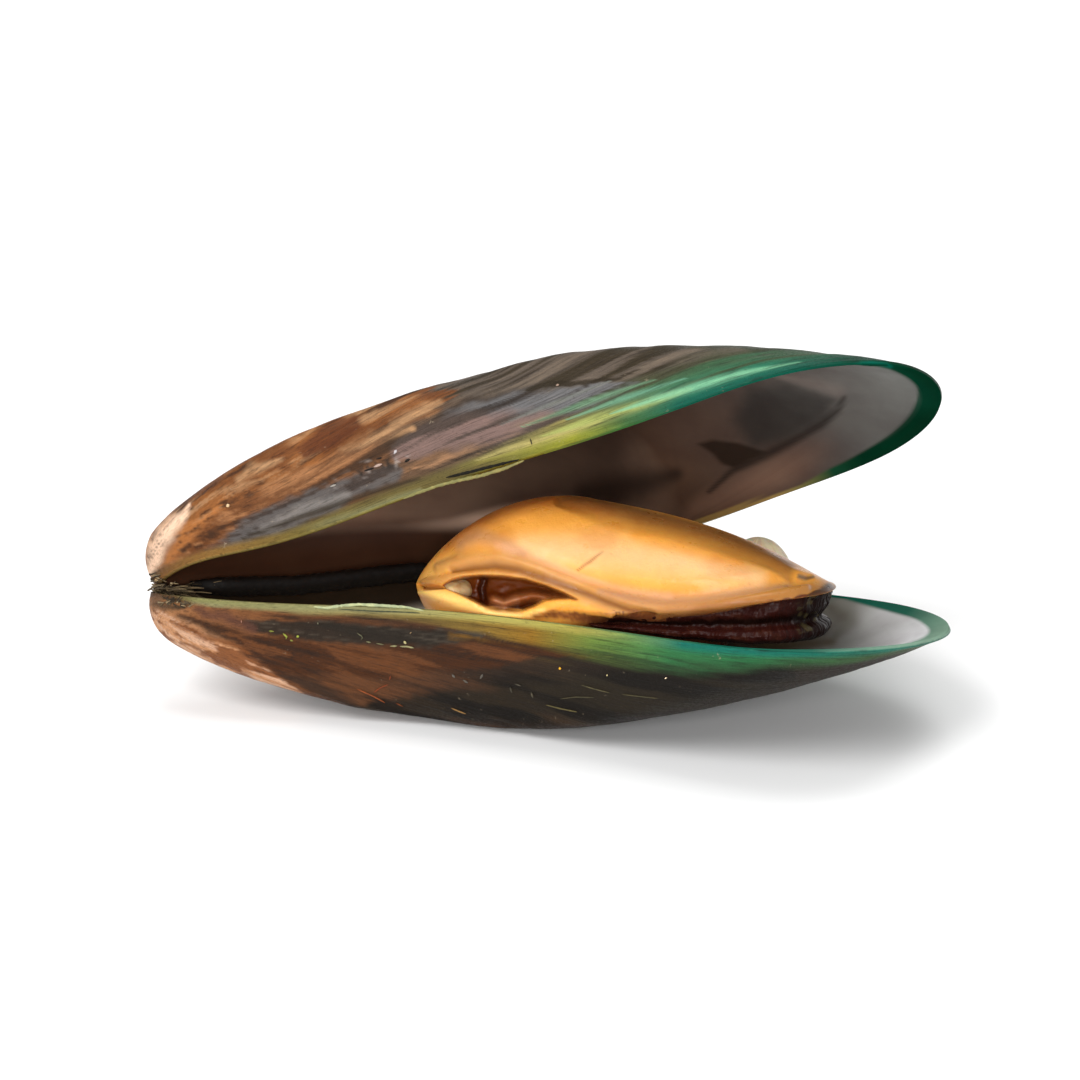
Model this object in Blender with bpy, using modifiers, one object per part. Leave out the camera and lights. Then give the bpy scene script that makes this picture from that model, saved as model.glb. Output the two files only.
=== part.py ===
"""An opened, cooked green-lipped mussel: two valves hinged at the back edge, with the soft body inside.

Metres, +Z up. Lengths are written in millimetres and scaled by MM. Each valve is drawn flat first,
in its own plan frame: X runs from the beak to the rear tip, Y from the belly edge to the hinge edge,
and Z stands out of the plane where the two valves met when the shell was closed.
"""

import math

import bmesh
import bpy
import numpy as np
from mathutils import Euler, Matrix, Vector

MM = 0.001

# Outline of a valve: X, Y and the gentle wave of its edge out of the plane
VALVE_OUTLINE = (
    (0.0, 0.0, -1.3),
    (3.7, -3.3, -1.0),
    (14.4, -3.2, -1.0),
    (34.2, -2.8, -0.1),
    (54.3, -3.8, -0.1),
    (72.5, -6.4, -0.4),
    (86.4, -6.2, -0.2),
    (94.1, 0.2, 0.0),
    (96.1, 8.4, 0.0),
    (93.3, 18.5, 0.0),
    (83.2, 28.0, 0.0),
    (68.9, 31.8, 0.0),
    (53.6, 34.0, 0.0),
    (39.6, 31.4, 0.0),
    (26.3, 21.6, 0.0),
    (12.8, 10.6, -1.3),
    (3.6, 3.3, -1.4),
)
POINTS_PER_SPAN = 4
RINGS = 10

# Deepest place of a valve, its depth, and how full the wall stands towards each side
DOME_CENTRE = (42.0, 3.1)
VALVE_DEPTH = 14.2
DOME_FALL = 1.72
FULL_REAR = 0.99
FULL_BELLY = 2.08
FULL_BACK = 1.36
FULL_BEAK = {"lower_valve": 2.35, "upper_valve": 2.9}
BEAK_REACH = {"lower_valve": 1.2, "upper_valve": 1.9}
BEAK_LENGTH = 8.0
BEAK_RISE = 6.0

# Shell wall: thick at the beak, thin at the rear tip and along the edge
REAR_TIP = 96.1
WALL_BEAK = 2.2
WALL_REAR = 0.95
EDGE_SHARE = 0.6

# How the upper valve has opened about the hinge edge
HINGE_START = (3.6, 3.3)
HINGE_END = (39.6, 31.4)
OPEN_ANGLE = 30.6
OPEN_TWIST = (0.9, -1.2, 2.1)
OPEN_SHIFT = (0.3, 0.0, 0.35)

# How the whole shell lies on the table, and where its plan point (46.8, 6.6) comes to stand
LIE_ANGLES = (-13.6, -1.2, -23.4)
PLAN_MIDDLE = (46.8, 6.6)
STAND = (-0.96, -0.12, 13.3)
REST_BLOCK = 60.0

# The dark elastic band inside the hinge edge: where it runs, its heights, and how it tapers
LIGAMENT_FROM = 0.8
LIGAMENT_TO = 40.0
LIGAMENT_INSET = 2.8
LIGAMENT_RADIUS = 1.0
LIGAMENT_POINTS = 22
LIGAMENT_HEIGHTS = (-0.6, 0.7)
LIGAMENT_THINNEST = 0.45
LIGAMENT_SWELL_FROM = 0.15

# Soft body: outline of its widest level, heights above and below it
BODY_OUTLINE = (
    (29.6, 12.0),
    (32.4, 5.0),
    (38.0, 0.2),
    (48.0, -1.2),
    (60.0, -2.0),
    (68.0, -3.0),
    (75.6, -2.6),
    (80.6, 0.3),
    (83.0, 6.0),
    (81.6, 12.0),
    (76.0, 17.4),
    (66.0, 19.8),
    (56.0, 24.0),
    (44.0, 25.0),
    (34.5, 20.5),
    (30.8, 15.8),
)
BODY_POINTS_PER_SPAN = 3
BODY_RINGS = 9
BODY_CENTRE = (48.5, 11.5)
BODY_LEVEL = 1.0
TAIL_LIFT = 3.8
TAIL_FROM = 52.0
TAIL_TO = 84.0
BODY_RISE = 11.4
BODY_SINK = 10.4
BODY_FALL = 2.0
BODY_FULL = {"nose": 1.25, "tail": 0.86, "belly": 1.7, "back": 1.5, "under": 1.5, "ledge": 0.8}
UNDERCUT = 4.6
UNDERCUT_FROM = 50.0
UNDERCUT_TO = 62.0

# The gape between the two lips of the mantle, and the foot that shows in it
GAPE_PLACE = (45.0, 0.4, 1.7)
GAPE_SIZE = (19.0, 12.0, 4.6)
GAPE_TURN = (0.0, 3.0, -14.0)
FOOT_PLACE = (37.4, 4.2, 1.5)
FOOT_SIZE = (3.8, 5.0, 2.6)
CLEARANCE = 0.3
GAPE_FACETS = (20, 12)
FOOT_FACETS = (16, 10)

# Dark frilled edge of the mantle, standing under the tail of the body
FRINGE_FROM = 12
FRINGE_TO = 33
FRINGE_ROWS = 4
FRINGE_INSET = 1.5
FRINGE_THICK = 1.5
FRINGE_BOTTOM = -0.6
FRINGE_GAP = 0.5
FRINGE_WAVE = 0.3
FRINGE_WAVES = 9
FRINGE_WAVE_START = 0.2

# Stump of the muscle that held the valves shut
MUSCLE_PLACE = (67.0, 24.6)
MUSCLE_SIZE = (8.6, 7.0)
MUSCLE_FACETS = (20, 14)
MUSCLE_TOP = 7.4
MUSCLE_MIDDLE = 2.0
MUSCLE_FOOT = -3.6

# Colour and roughness of each material
LOOKS = {
    "lower shell": ((0.10, 0.07, 0.04), 0.35),
    "upper shell": ((0.20, 0.14, 0.09), 0.45),
    "ligament": ((0.02, 0.015, 0.01), 0.5),
    "soft body": ((0.85, 0.50, 0.17), 0.3),
    "foot": ((0.80, 0.68, 0.50), 0.35),
    "mantle fringe": ((0.06, 0.02, 0.02), 0.4),
    "muscle": ((0.72, 0.60, 0.44), 0.4),
}


def material(name):
    """A plain Principled material."""
    colour, roughness = LOOKS[name]
    made = bpy.data.materials.new(name)
    made.use_nodes = True
    shader = made.node_tree.nodes["Principled BSDF"]
    shader.inputs["Base Color"].default_value = (*colour, 1.0)
    shader.inputs["Roughness"].default_value = roughness
    made.diffuse_color = (*colour, 1.0)
    return made


def closed_curve(points, per_span):
    """Smooth closed curve through the points, as an array of per_span samples after each point."""
    p = np.array(points, float)
    count = len(p)
    span = np.linalg.norm(np.roll(p, -1, axis=0) - p, axis=1)
    before = np.roll(span, 1)
    system = np.zeros((count, count))
    for i in range(count):
        system[i, i - 1] += before[i]
        system[i, i] += 2 * (before[i] + span[i])
        system[i, (i + 1) % count] += span[i]
    ahead = (np.roll(p, -1, axis=0) - p) / span[:, None]
    behind = (p - np.roll(p, 1, axis=0)) / before[:, None]
    bend = np.linalg.solve(system, 6 * (ahead - behind))
    samples = []
    for i in range(count):
        j = (i + 1) % count
        length = span[i]
        for k in range(per_span):
            t = length * k / per_span
            u = length - t
            curve = (bend[i] * u**3 + bend[j] * t**3) / (6 * length)
            chord = (p[i] / length - bend[i] * length / 6) * u + (p[j] / length - bend[j] * length / 6) * t
            samples.append(curve + chord)
    return np.array(samples)


def blend_by_direction(step, beak, rear, belly, back):
    """Mixes four values by the direction of a step in plan, and joins smoothly at the quarters."""
    along, across = step / np.linalg.norm(step)
    first = beak if along < 0 else rear
    second = belly if across < 0 else back
    return along**2 * first + across**2 * second


def valve_point(name, edge, q, side):
    """Point of a valve's outer wall at share q of the way from the dome's middle to the edge point."""
    centre = np.array(DOME_CENTRE)
    step = edge[:2] - centre
    fullness = blend_by_direction(step, FULL_BEAK[name], FULL_REAR, FULL_BELLY, FULL_BACK)
    height = VALVE_DEPTH * max(0.0, 1 - q**DOME_FALL) ** (1 / fullness)
    x, y = centre + q * step
    x -= BEAK_REACH[name] * math.exp(-((max(x, 0.0) / BEAK_LENGTH) ** 2)) * min(1.0, height / BEAK_RISE)
    return Vector((x, y, side * height + q**4 * edge[2]))


def dome_mesh(name, edge_count, rings, place, whole):
    """Sphere or hemisphere whose every vertex goes to place(edge index, q, top side)."""
    bm = bmesh.new()
    bmesh.ops.create_uvsphere(bm, u_segments=edge_count, v_segments=2 * rings, radius=1.0)
    if not whole:
        low = [v for v in bm.verts if v.co.z < -1e-4]
        bmesh.ops.delete(bm, geom=low, context="VERTS")
    for v in bm.verts:
        index = round(math.atan2(v.co.y, v.co.x) / math.tau * edge_count) % edge_count
        q = min(1.0, math.hypot(v.co.x, v.co.y))
        v.co = place(index, q, v.co.z > -1e-4) * MM
    bmesh.ops.recalc_face_normals(bm, faces=bm.faces)
    mesh = bpy.data.meshes.new(name)
    bm.to_mesh(mesh)
    bm.free()
    mesh.shade_smooth()
    return mesh


def add(name, mesh, collection, parent, surface=None):
    """An object of this mesh in a collection, under a parent."""
    made = bpy.data.objects.new(name, mesh)
    collection.objects.link(made)
    made.parent = parent
    if surface:
        mesh.materials.append(surface)
    return made


def cutter(made):
    """Marks an object as a tool that isn't part of the shell."""
    made.hide_render = True
    made.display_type = "WIRE"
    return made


def cut(target, tool):
    """Cuts the tool out of the target."""
    boolean = target.modifiers.new(tool.name, "BOOLEAN")
    boolean.operation = "DIFFERENCE"
    boolean.solver = "EXACT"
    boolean.object = tool


def build_valve(name, side, edge, collection, parent, surface):
    """One valve: an open dome with a wall that thins to the rear and to its edge."""

    def place(i, q, top):
        return valve_point(name, edge[i], q, side)

    mesh = dome_mesh(name, len(edge), RINGS, place, whole=False)
    if side * sum(f.normal.z for f in mesh.polygons) < 0:
        mesh.flip_normals()
    valve = add(name, mesh, collection, parent, surface)
    wall = valve.vertex_groups.new(name="wall")
    boundary = boundary_of(mesh)
    for v in mesh.vertices:
        share = min(1.0, max(0.0, v.co.x / (REAR_TIP * MM)))
        thick = (WALL_BEAK + (WALL_REAR - WALL_BEAK) * share) / WALL_BEAK
        if v.index in boundary:
            thick *= EDGE_SHARE
        wall.add([v.index], thick, "REPLACE")
    solidify = valve.modifiers.new("wall", "SOLIDIFY")
    solidify.thickness = WALL_BEAK * MM
    solidify.offset = -1.0
    solidify.vertex_group = wall.name
    solidify.use_even_offset = True
    return valve


def boundary_of(mesh):
    """Indices of the vertices on the open edge of a mesh."""
    bm = bmesh.new()
    bm.from_mesh(mesh)
    found = {v.index for v in bm.verts if v.is_boundary}
    bm.free()
    return found


def open_upper(valve):
    """Turns the upper valve about the hinge edge."""
    start = Vector((*HINGE_START, 0.0)) * MM
    end = Vector((*HINGE_END, 0.0)) * MM
    swing = Matrix.Rotation(-math.radians(OPEN_ANGLE), 4, end - start)
    twist = Euler([math.radians(a) for a in OPEN_TWIST]).to_matrix().to_4x4()
    shift = Matrix.Translation(start + Vector(OPEN_SHIFT) * MM)
    valve.matrix_local = shift @ twist @ swing @ Matrix.Translation(-start)


def rest_flat(valve, cutters):
    """Takes the lowest sliver off the lower valve, level with the table."""
    bm = bmesh.new()
    bmesh.ops.create_cube(bm, size=REST_BLOCK * MM)
    mesh = bpy.data.meshes.new("table")
    bm.to_mesh(mesh)
    bm.free()
    table = add("table", mesh, cutters, None)
    table.location.z = -REST_BLOCK * MM / 2
    cut(valve, cutter(table))


def tube(name, points, radii, collection, parent, surface):
    """A poly curve tube with filled caps, thicker or thinner along its way."""
    curve = bpy.data.curves.new(name, "CURVE")
    curve.dimensions = "3D"
    curve.bevel_depth = MM
    curve.bevel_resolution = 2
    curve.use_fill_caps = True
    spline = curve.splines.new("POLY")
    spline.points.add(len(points) - 1)
    for target, point, radius in zip(spline.points, points, radii):
        target.co = (*(Vector(point) * MM), 1.0)
        target.radius = radius
    return add(name, curve, collection, parent, surface)


def build_ligament(collection, parent, surface):
    """The dark band that runs inside the hinge edge from the beak to the end of the hinge."""
    start = Vector(HINGE_START)
    along = (Vector(HINGE_END) - start).normalized()
    inward = Vector((along.y, -along.x))
    path = []
    radii = []
    for k in range(LIGAMENT_POINTS):
        share = k / (LIGAMENT_POINTS - 1)
        distance = LIGAMENT_FROM + share * (LIGAMENT_TO - LIGAMENT_FROM)
        place = start + along * distance + inward * LIGAMENT_INSET
        low, high = LIGAMENT_HEIGHTS
        path.append((place.x, place.y, low + (high - low) * share))
        swell = math.sin(math.pi * (LIGAMENT_SWELL_FROM + (1 - LIGAMENT_SWELL_FROM) * share))
        radii.append(LIGAMENT_RADIUS * (LIGAMENT_THINNEST + (1 - LIGAMENT_THINNEST) * max(0.0, swell) ** 0.5))
    return tube("ligament", path, radii, collection, parent, surface)


def ramp(value, start, end):
    """Smooth step from 0 at start to 1 at end."""
    t = min(1.0, max(0.0, (value - start) / (end - start)))
    return t * t * (3 - 2 * t)


def body_level(x):
    """Height of the body's widest level, which rises towards the tail."""
    return BODY_LEVEL + TAIL_LIFT * ramp(x, TAIL_FROM, TAIL_TO)


def build_body(edge, collection, parent, surface):
    """The plump soft body, undercut below its tail."""
    centre = np.array(BODY_CENTRE)
    full = BODY_FULL

    def place(i, q, top):
        step = edge[i] - centre
        fall = max(0.0, 1 - q**BODY_FALL)
        if top:
            x, y = centre + q * step
            fullness = blend_by_direction(step, full["nose"], full["tail"], full["belly"], full["back"])
            return Vector((x, y, body_level(x) + BODY_RISE * fall ** (1 / fullness)))
        ledge = ramp(edge[i][0], UNDERCUT_FROM, UNDERCUT_TO)
        x, y = centre + q * step * (1 - UNDERCUT * ledge / np.linalg.norm(step))
        level = body_level(x)
        fullness = full["under"] + (full["ledge"] - full["under"]) * ledge
        return Vector((x, y, level - (BODY_SINK + level) * fall ** (1 / fullness)))

    mesh = dome_mesh("body", len(edge), BODY_RINGS, place, whole=True)
    return add("body", mesh, collection, parent, surface)


def build_foot(body, collection, cutters, parent, surface):
    """The foot: a pale knob in the gape, seated in the body with a little clearance."""
    gape = add("gape", ball_mesh("gape", GAPE_SIZE, GAPE_FACETS), cutters, parent)
    gape.location = Vector(GAPE_PLACE) * MM
    gape.rotation_euler = [math.radians(a) for a in GAPE_TURN]
    cut(body, cutter(gape))
    foot = add("foot", ball_mesh("foot", FOOT_SIZE, FOOT_FACETS), collection, parent, surface)
    foot.location = Vector(FOOT_PLACE) * MM
    roomy = [side + 2 * CLEARANCE for side in FOOT_SIZE]
    seat = add("foot_seat", ball_mesh("foot_seat", roomy, FOOT_FACETS), cutters, parent)
    seat.location = foot.location
    cut(body, cutter(seat))


def build_fringe(edge, collection, parent, surface):
    """The frilled edge: a ribbon that follows the body's tail, given a thickness."""
    run = edge[FRINGE_FROM:FRINGE_TO]
    count = len(run)
    along = np.gradient(run, axis=0)
    along /= np.linalg.norm(along, axis=1)[:, None]
    inward = np.column_stack([-along[:, 1], along[:, 0]])
    bm = bmesh.new()
    bmesh.ops.create_grid(bm, x_segments=count - 1, y_segments=FRINGE_ROWS, size=1.0)
    for v in bm.verts:
        i = round((v.co.x + 1) / 2 * (count - 1))
        up = (v.co.y + 1) / 2
        swing = math.sin(math.pi * (FRINGE_WAVE_START + up))
        wave = FRINGE_WAVE * math.sin(math.tau * FRINGE_WAVES * i / count) * swing
        x, y = run[i] + inward[i] * (FRINGE_INSET + wave)
        top = body_level(run[i][0]) - FRINGE_GAP
        v.co = Vector((x, y, FRINGE_BOTTOM + up * (top - FRINGE_BOTTOM))) * MM
    mesh = bpy.data.meshes.new("mantle_fringe")
    bm.to_mesh(mesh)
    bm.free()
    fringe = add("mantle_fringe", mesh, collection, parent, surface)
    solidify = fringe.modifiers.new("thickness", "SOLIDIFY")
    solidify.thickness = FRINGE_THICK * MM
    solidify.offset = 0.0


def build_muscle(collection, parent, surface):
    """Stump of the closing muscle, standing on the floor of the lower valve."""
    mesh = ball_mesh("adductor_muscle", (*MUSCLE_SIZE, 2.0), MUSCLE_FACETS)
    for v in mesh.vertices:
        up = v.co.z / MM
        reach = MUSCLE_TOP - MUSCLE_MIDDLE if up > 0 else MUSCLE_MIDDLE - MUSCLE_FOOT
        v.co.z = (MUSCLE_MIDDLE + up * reach) * MM
    muscle = add("adductor_muscle", mesh, collection, parent, surface)
    muscle.location = Vector((*MUSCLE_PLACE, 0.0)) * MM


def ball_mesh(name, size, facets):
    """A ball stretched to the given width, length and height, with its segments and rings."""
    bm = bmesh.new()
    bmesh.ops.create_uvsphere(bm, u_segments=facets[0], v_segments=facets[1], radius=0.5)
    bmesh.ops.scale(bm, vec=Vector(size) * MM, verts=bm.verts)
    mesh = bpy.data.meshes.new(name)
    bm.to_mesh(mesh)
    bm.free()
    mesh.shade_smooth()
    return mesh


def clear_scene():
    for old in list(bpy.data.objects):
        bpy.data.objects.remove(old, do_unlink=True)


def main():
    clear_scene()
    scene = bpy.context.scene.collection
    shell = bpy.data.collections.new("mussel")
    cutters = bpy.data.collections.new("cutters")
    scene.children.link(shell)
    scene.children.link(cutters)

    lie = add("lie", None, shell, None)
    turn = Euler([math.radians(a) for a in LIE_ANGLES]).to_matrix().to_4x4()
    middle = Matrix.Translation(-Vector((*PLAN_MIDDLE, 0.0)) * MM)
    lie.matrix_world = Matrix.Translation(Vector(STAND) * MM) @ turn @ middle

    edge = closed_curve(VALVE_OUTLINE, POINTS_PER_SPAN)
    lower = build_valve("lower_valve", -1, edge, shell, lie, material("lower shell"))
    upper = build_valve("upper_valve", 1, edge, shell, lie, material("upper shell"))
    open_upper(upper)
    rest_flat(lower, cutters)
    build_ligament(shell, lie, material("ligament"))
    margin = closed_curve(BODY_OUTLINE, BODY_POINTS_PER_SPAN)
    body = build_body(margin, shell, lie, material("soft body"))
    build_foot(body, shell, cutters, lie, material("foot"))
    build_fringe(margin, shell, lie, material("mantle fringe"))
    build_muscle(shell, lie, material("muscle"))


main()
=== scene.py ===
"""Looks of an opened, cooked green-lipped mussel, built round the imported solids.

Lengths are in millimetres in the shell's own frame, and the meshes are made in metres.
"""

import math

import bpy
import numpy as np
from mathutils import Euler, Matrix, Vector


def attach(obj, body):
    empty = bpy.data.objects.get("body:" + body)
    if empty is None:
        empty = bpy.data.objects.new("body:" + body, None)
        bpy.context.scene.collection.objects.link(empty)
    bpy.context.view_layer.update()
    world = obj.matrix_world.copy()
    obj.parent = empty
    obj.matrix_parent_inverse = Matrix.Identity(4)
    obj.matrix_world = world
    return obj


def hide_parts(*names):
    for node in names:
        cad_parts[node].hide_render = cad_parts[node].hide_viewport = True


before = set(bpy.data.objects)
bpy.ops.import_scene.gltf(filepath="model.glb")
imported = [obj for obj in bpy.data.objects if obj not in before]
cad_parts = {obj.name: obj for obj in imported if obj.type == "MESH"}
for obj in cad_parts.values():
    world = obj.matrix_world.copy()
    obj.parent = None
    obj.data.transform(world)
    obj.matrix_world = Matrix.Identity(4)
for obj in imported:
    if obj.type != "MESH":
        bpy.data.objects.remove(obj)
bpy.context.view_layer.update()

MM = 0.001

# Valves: the same outline, dome and opening as the solids
VALVE_OUTLINE = (
    (0.0, 0.0, -1.3),
    (3.7, -3.3, -1.0),
    (14.4, -3.2, -1.0),
    (34.2, -2.8, -0.1),
    (54.3, -3.8, -0.1),
    (72.5, -6.4, -0.4),
    (86.4, -6.2, -0.2),
    (94.1, 0.2, 0.0),
    (96.1, 8.4, 0.0),
    (93.3, 18.5, 0.0),
    (83.2, 28.0, 0.0),
    (68.9, 31.8, 0.0),
    (53.6, 34.0, 0.0),
    (39.6, 31.4, 0.0),
    (26.3, 21.6, 0.0),
    (12.8, 10.6, -1.3),
    (3.6, 3.3, -1.4),
)
REAR_TIP = 96.1
DOME_CENTRE = (42.0, 3.1)
VALVE_DEPTH = 14.2
DOME_FALL = 1.72
FULL_REAR = 0.99
FULL_BELLY = 2.08
FULL_BACK = 1.36
FULL_BEAK = {"lower_valve": 2.35, "upper_valve": 2.9}
BEAK_REACH = {"lower_valve": 1.2, "upper_valve": 1.9}
BEAK_LENGTH = 8.0
BEAK_RISE = 6.0
WALL_BEAK = 2.2
WALL_REAR = 0.95
EDGE_SHARE = 0.6
HINGE_START = (3.6, 3.3)
HINGE_END = (39.6, 31.4)
OPEN_ANGLE = 30.6
OPEN_TWIST = (0.9, -1.2, 2.1)
OPEN_SHIFT = (0.3, 0.0, 0.35)

# How the shell lies
LIE_ANGLES = (-13.6, -1.2, -23.4)
PLAN_MIDDLE = (46.8, 6.6)
STAND = (-0.96, -0.12, 13.3)

# Camera, from the shell's standing place
CAMERA_OFFSET = (11.2, -1089.2, 448.1)
CAMERA_RIGHT = (0.99862953, -0.01088126, -0.05119229)
CAMERA_UP = (0.05154086, 0.37432599, 0.9258637)
CAMERA_FORWARD = (-0.00908804, 0.92723333, -0.37437382)
PICTURE = 1080
FOCAL = 10106.0
SENSOR = 36.0
PIXELS_PER_MM = 8.59

# Studio, in metres: the floor's half width, and each light's place, target, size and power
FLOOR_HALF = 3.0
FLOOR_TONE = (0.86, 0.86, 0.86, 1.0)
WORLD_POWER = 0.5
LIGHTS = (
    ("key", (-0.35, -0.45, 0.75), (0, 0, 0.01), 0.5, 5.2),
    ("top", (0.15, 0.25, 0.8), (0, 0, 0.01), 0.6, 4.0),
    ("front", (-0.1, -0.94, 0.32), (0.0, 0, 0.02), 0.35, 5.6),
)


def closed_curve(points, per_span):
    """Smooth closed curve through the points, as an array of per_span samples after each point."""
    p = np.array(points, float)
    count = len(p)
    span = np.linalg.norm(np.roll(p, -1, axis=0) - p, axis=1)
    before = np.roll(span, 1)
    system = np.zeros((count, count))
    for i in range(count):
        system[i, i - 1] += before[i]
        system[i, i] += 2 * (before[i] + span[i])
        system[i, (i + 1) % count] += span[i]
    ahead = (np.roll(p, -1, axis=0) - p) / span[:, None]
    behind = (p - np.roll(p, 1, axis=0)) / before[:, None]
    bend = np.linalg.solve(system, 6 * (ahead - behind))
    samples = []
    for i in range(count):
        j = (i + 1) % count
        length = span[i]
        for k in range(per_span):
            t = length * k / per_span
            u = length - t
            curve = (bend[i] * u**3 + bend[j] * t**3) / (6 * length)
            first = (p[i] / length - bend[i] * length / 6) * u
            second = (p[j] / length - bend[j] * length / 6) * t
            samples.append(curve + (first + second))
    return np.array(samples)


def blend_by_direction(step, beak, rear, belly, back):
    """Mixes four values by the direction of each step in plan."""
    unit = step / np.maximum(np.linalg.norm(step, axis=-1, keepdims=True), 1e-9)
    first = np.where(unit[..., 0] < 0, beak, rear)
    second = np.where(unit[..., 1] < 0, belly, back)
    return unit[..., 0] ** 2 * first + unit[..., 1] ** 2 * second


def ease(value, start, end):
    """Smooth step from 0 at start to 1 at end."""
    t = np.clip((value - start) / (end - start), 0.0, 1.0)
    return t * t * (3 - 2 * t)


def lie_matrix():
    """From the shell's own frame, in metres, to the table's."""
    turn = Euler([math.radians(a) for a in LIE_ANGLES]).to_matrix().to_4x4()
    middle = Matrix.Translation(-Vector((*PLAN_MIDDLE, 0.0)) * MM)
    return Matrix.Translation(Vector(STAND) * MM) @ turn @ middle


def open_matrix():
    """Turns the upper valve about the hinge edge."""
    start = Vector((*HINGE_START, 0.0)) * MM
    end = Vector((*HINGE_END, 0.0)) * MM
    swing = Matrix.Rotation(-math.radians(OPEN_ANGLE), 4, end - start)
    twist = Euler([math.radians(a) for a in OPEN_TWIST]).to_matrix().to_4x4()
    shift = Matrix.Translation(start + Vector(OPEN_SHIFT) * MM)
    return shift @ twist @ swing @ Matrix.Translation(-start)


def moved(matrix, points):
    """Points in millimetres through a matrix in metres, still in millimetres."""
    m = np.array(matrix)
    return points @ m[:3, :3].T + m[:3, 3] / MM


LIE = lie_matrix()
OPEN = LIE @ open_matrix()
EYE = np.array(STAND) + CAMERA_OFFSET


def picture(points):
    """Where world points, in millimetres, show in the camera's picture, as x and y in pixels."""
    ray = points - EYE
    depth = ray @ np.array(CAMERA_FORWARD)
    x = PICTURE / 2 + FOCAL * (ray @ np.array(CAMERA_RIGHT)) / depth
    y = PICTURE / 2 - FOCAL * (ray @ np.array(CAMERA_UP)) / depth
    return x, y


def noise(x, y, seed):
    """Smooth value noise over a plane, from -1 to 1, with one cell to each unit."""
    table = np.random.default_rng(seed).uniform(-1, 1, (128, 128))
    x0 = np.floor(x).astype(int)
    y0 = np.floor(y).astype(int)
    fx = x - x0
    fy = y - y0
    fx = fx * fx * (3 - 2 * fx)
    fy = fy * fy * (3 - 2 * fy)
    low = table[x0 % 128, y0 % 128] * (1 - fx) + table[(x0 + 1) % 128, y0 % 128] * fx
    high = table[x0 % 128, (y0 + 1) % 128] * (1 - fx) + table[(x0 + 1) % 128, (y0 + 1) % 128] * fx
    return low * (1 - fy) + high * fy


def rough_noise(x, y, seed, octaves=4):
    """Noise with finer and weaker layers on top."""
    total = 0.0
    for k in range(octaves):
        total = total + noise(x * 2**k, y * 2**k, seed + k) * 0.5**k
    return total / 1.6


def stroke(px, py, path, widths):
    """How strongly a brush along a path in the picture covers each point: 1 on its middle, 0 outside."""
    path = np.array(path, float)
    widths = np.broadcast_to(np.array(widths, float), (len(path),))
    cover = np.zeros_like(px)
    for a, b, wa, wb in zip(path, path[1:], widths, widths[1:]):
        step = b - a
        t = np.clip(((px - a[0]) * step[0] + (py - a[1]) * step[1]) / (step @ step), 0, 1)
        away = np.hypot(px - a[0] - t * step[0], py - a[1] - t * step[1])
        cover = np.maximum(cover, 1 - away / (wa + (wb - wa) * t))
    return ease(cover, 0.0, 1.0)


def inside(px, py, outline, soft):
    """1 inside an outline in the picture, 0 outside, passing smoothly over a band soft wide."""
    outline = np.array(outline, float)
    odd = np.zeros(px.shape, bool)
    away = np.full(px.shape, 1e9)
    for a, b in zip(outline, np.roll(outline, -1, axis=0)):
        step = b - a
        t = np.clip(((px - a[0]) * step[0] + (py - a[1]) * step[1]) / (step @ step), 0, 1)
        away = np.minimum(away, np.hypot(px - a[0] - t * step[0], py - a[1] - t * step[1]))
        crosses = (a[1] > py) != (b[1] > py)
        if b[1] != a[1]:
            odd ^= crosses & (px < (b[0] - a[0]) * (py - a[1]) / (b[1] - a[1]) + a[0])
    return ease(np.where(odd, away, -away), -soft / 2, soft / 2)


def laid(where, path, widths):
    """How strongly a brush covers each point, where says the points' places and whether each is seen."""
    px, py, seen = where
    return stroke(px, py, path, widths) * seen


def brushed(colour, where, path, widths, tone, share):
    """Colours with one tone brushed on along a path."""
    return lerp(colour, tone, share * laid(where, path, widths))


def wavered(px, py, seed):
    """Places in the picture moved about by a few points, so that brushes laid there get uneven edges."""
    across = rough_noise(px / 13, py / 11, seed, 4)
    down = rough_noise(px / 13, py / 11, seed + 9, 4)
    return px + 4.5 * across, py + 3.5 * down


def ragged(cover, change):
    """A brush's cover with its edge broken up by a noise."""
    return ease(cover + change, 0.1, 0.65) * ease(cover, 0.0, 0.3)


def normals_of(grid):
    """Unit normals of a grid of points that closes round its second axis."""
    down = np.gradient(grid, axis=0)
    across = np.roll(grid, -1, axis=1) - np.roll(grid, 1, axis=1)
    found = np.cross(across, down)
    return found / np.maximum(np.linalg.norm(found, axis=-1, keepdims=True), 1e-12)


def grid_faces(rows, columns):
    """Quads of a grid of rows x columns vertices that closes round its second axis."""
    index = np.arange(rows * columns).reshape(rows, columns)
    right = np.roll(index, -1, axis=1)
    quads = np.stack([index[:-1], right[:-1], right[1:], index[1:]], axis=-1)
    return quads.reshape(-1, 4).tolist()


def shut_faces(rows, columns):
    """The same quads, with a fan of triangles at each end to one more vertex, listed after the grid."""
    faces = grid_faces(rows, columns)
    pole = rows * columns
    last = pole - columns
    for i in range(columns):
        j = (i + 1) % columns
        faces.append([pole, j, i])
        faces.append([pole + 1, last + i, last + j])
    return faces


def add_piece(name, points, faces, slot, *replaced):
    """A smooth mesh object from world points in millimetres, riding on the shell."""
    mesh = bpy.data.meshes.new(name)
    mesh.from_pydata((points * MM).tolist(), [], faces)
    mesh.update()
    mesh.shade_smooth()
    made = bpy.data.objects.new(name, mesh)
    bpy.context.scene.collection.objects.link(made)
    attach(made, "root")
    if replaced:
        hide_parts(*replaced)
    return made


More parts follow.
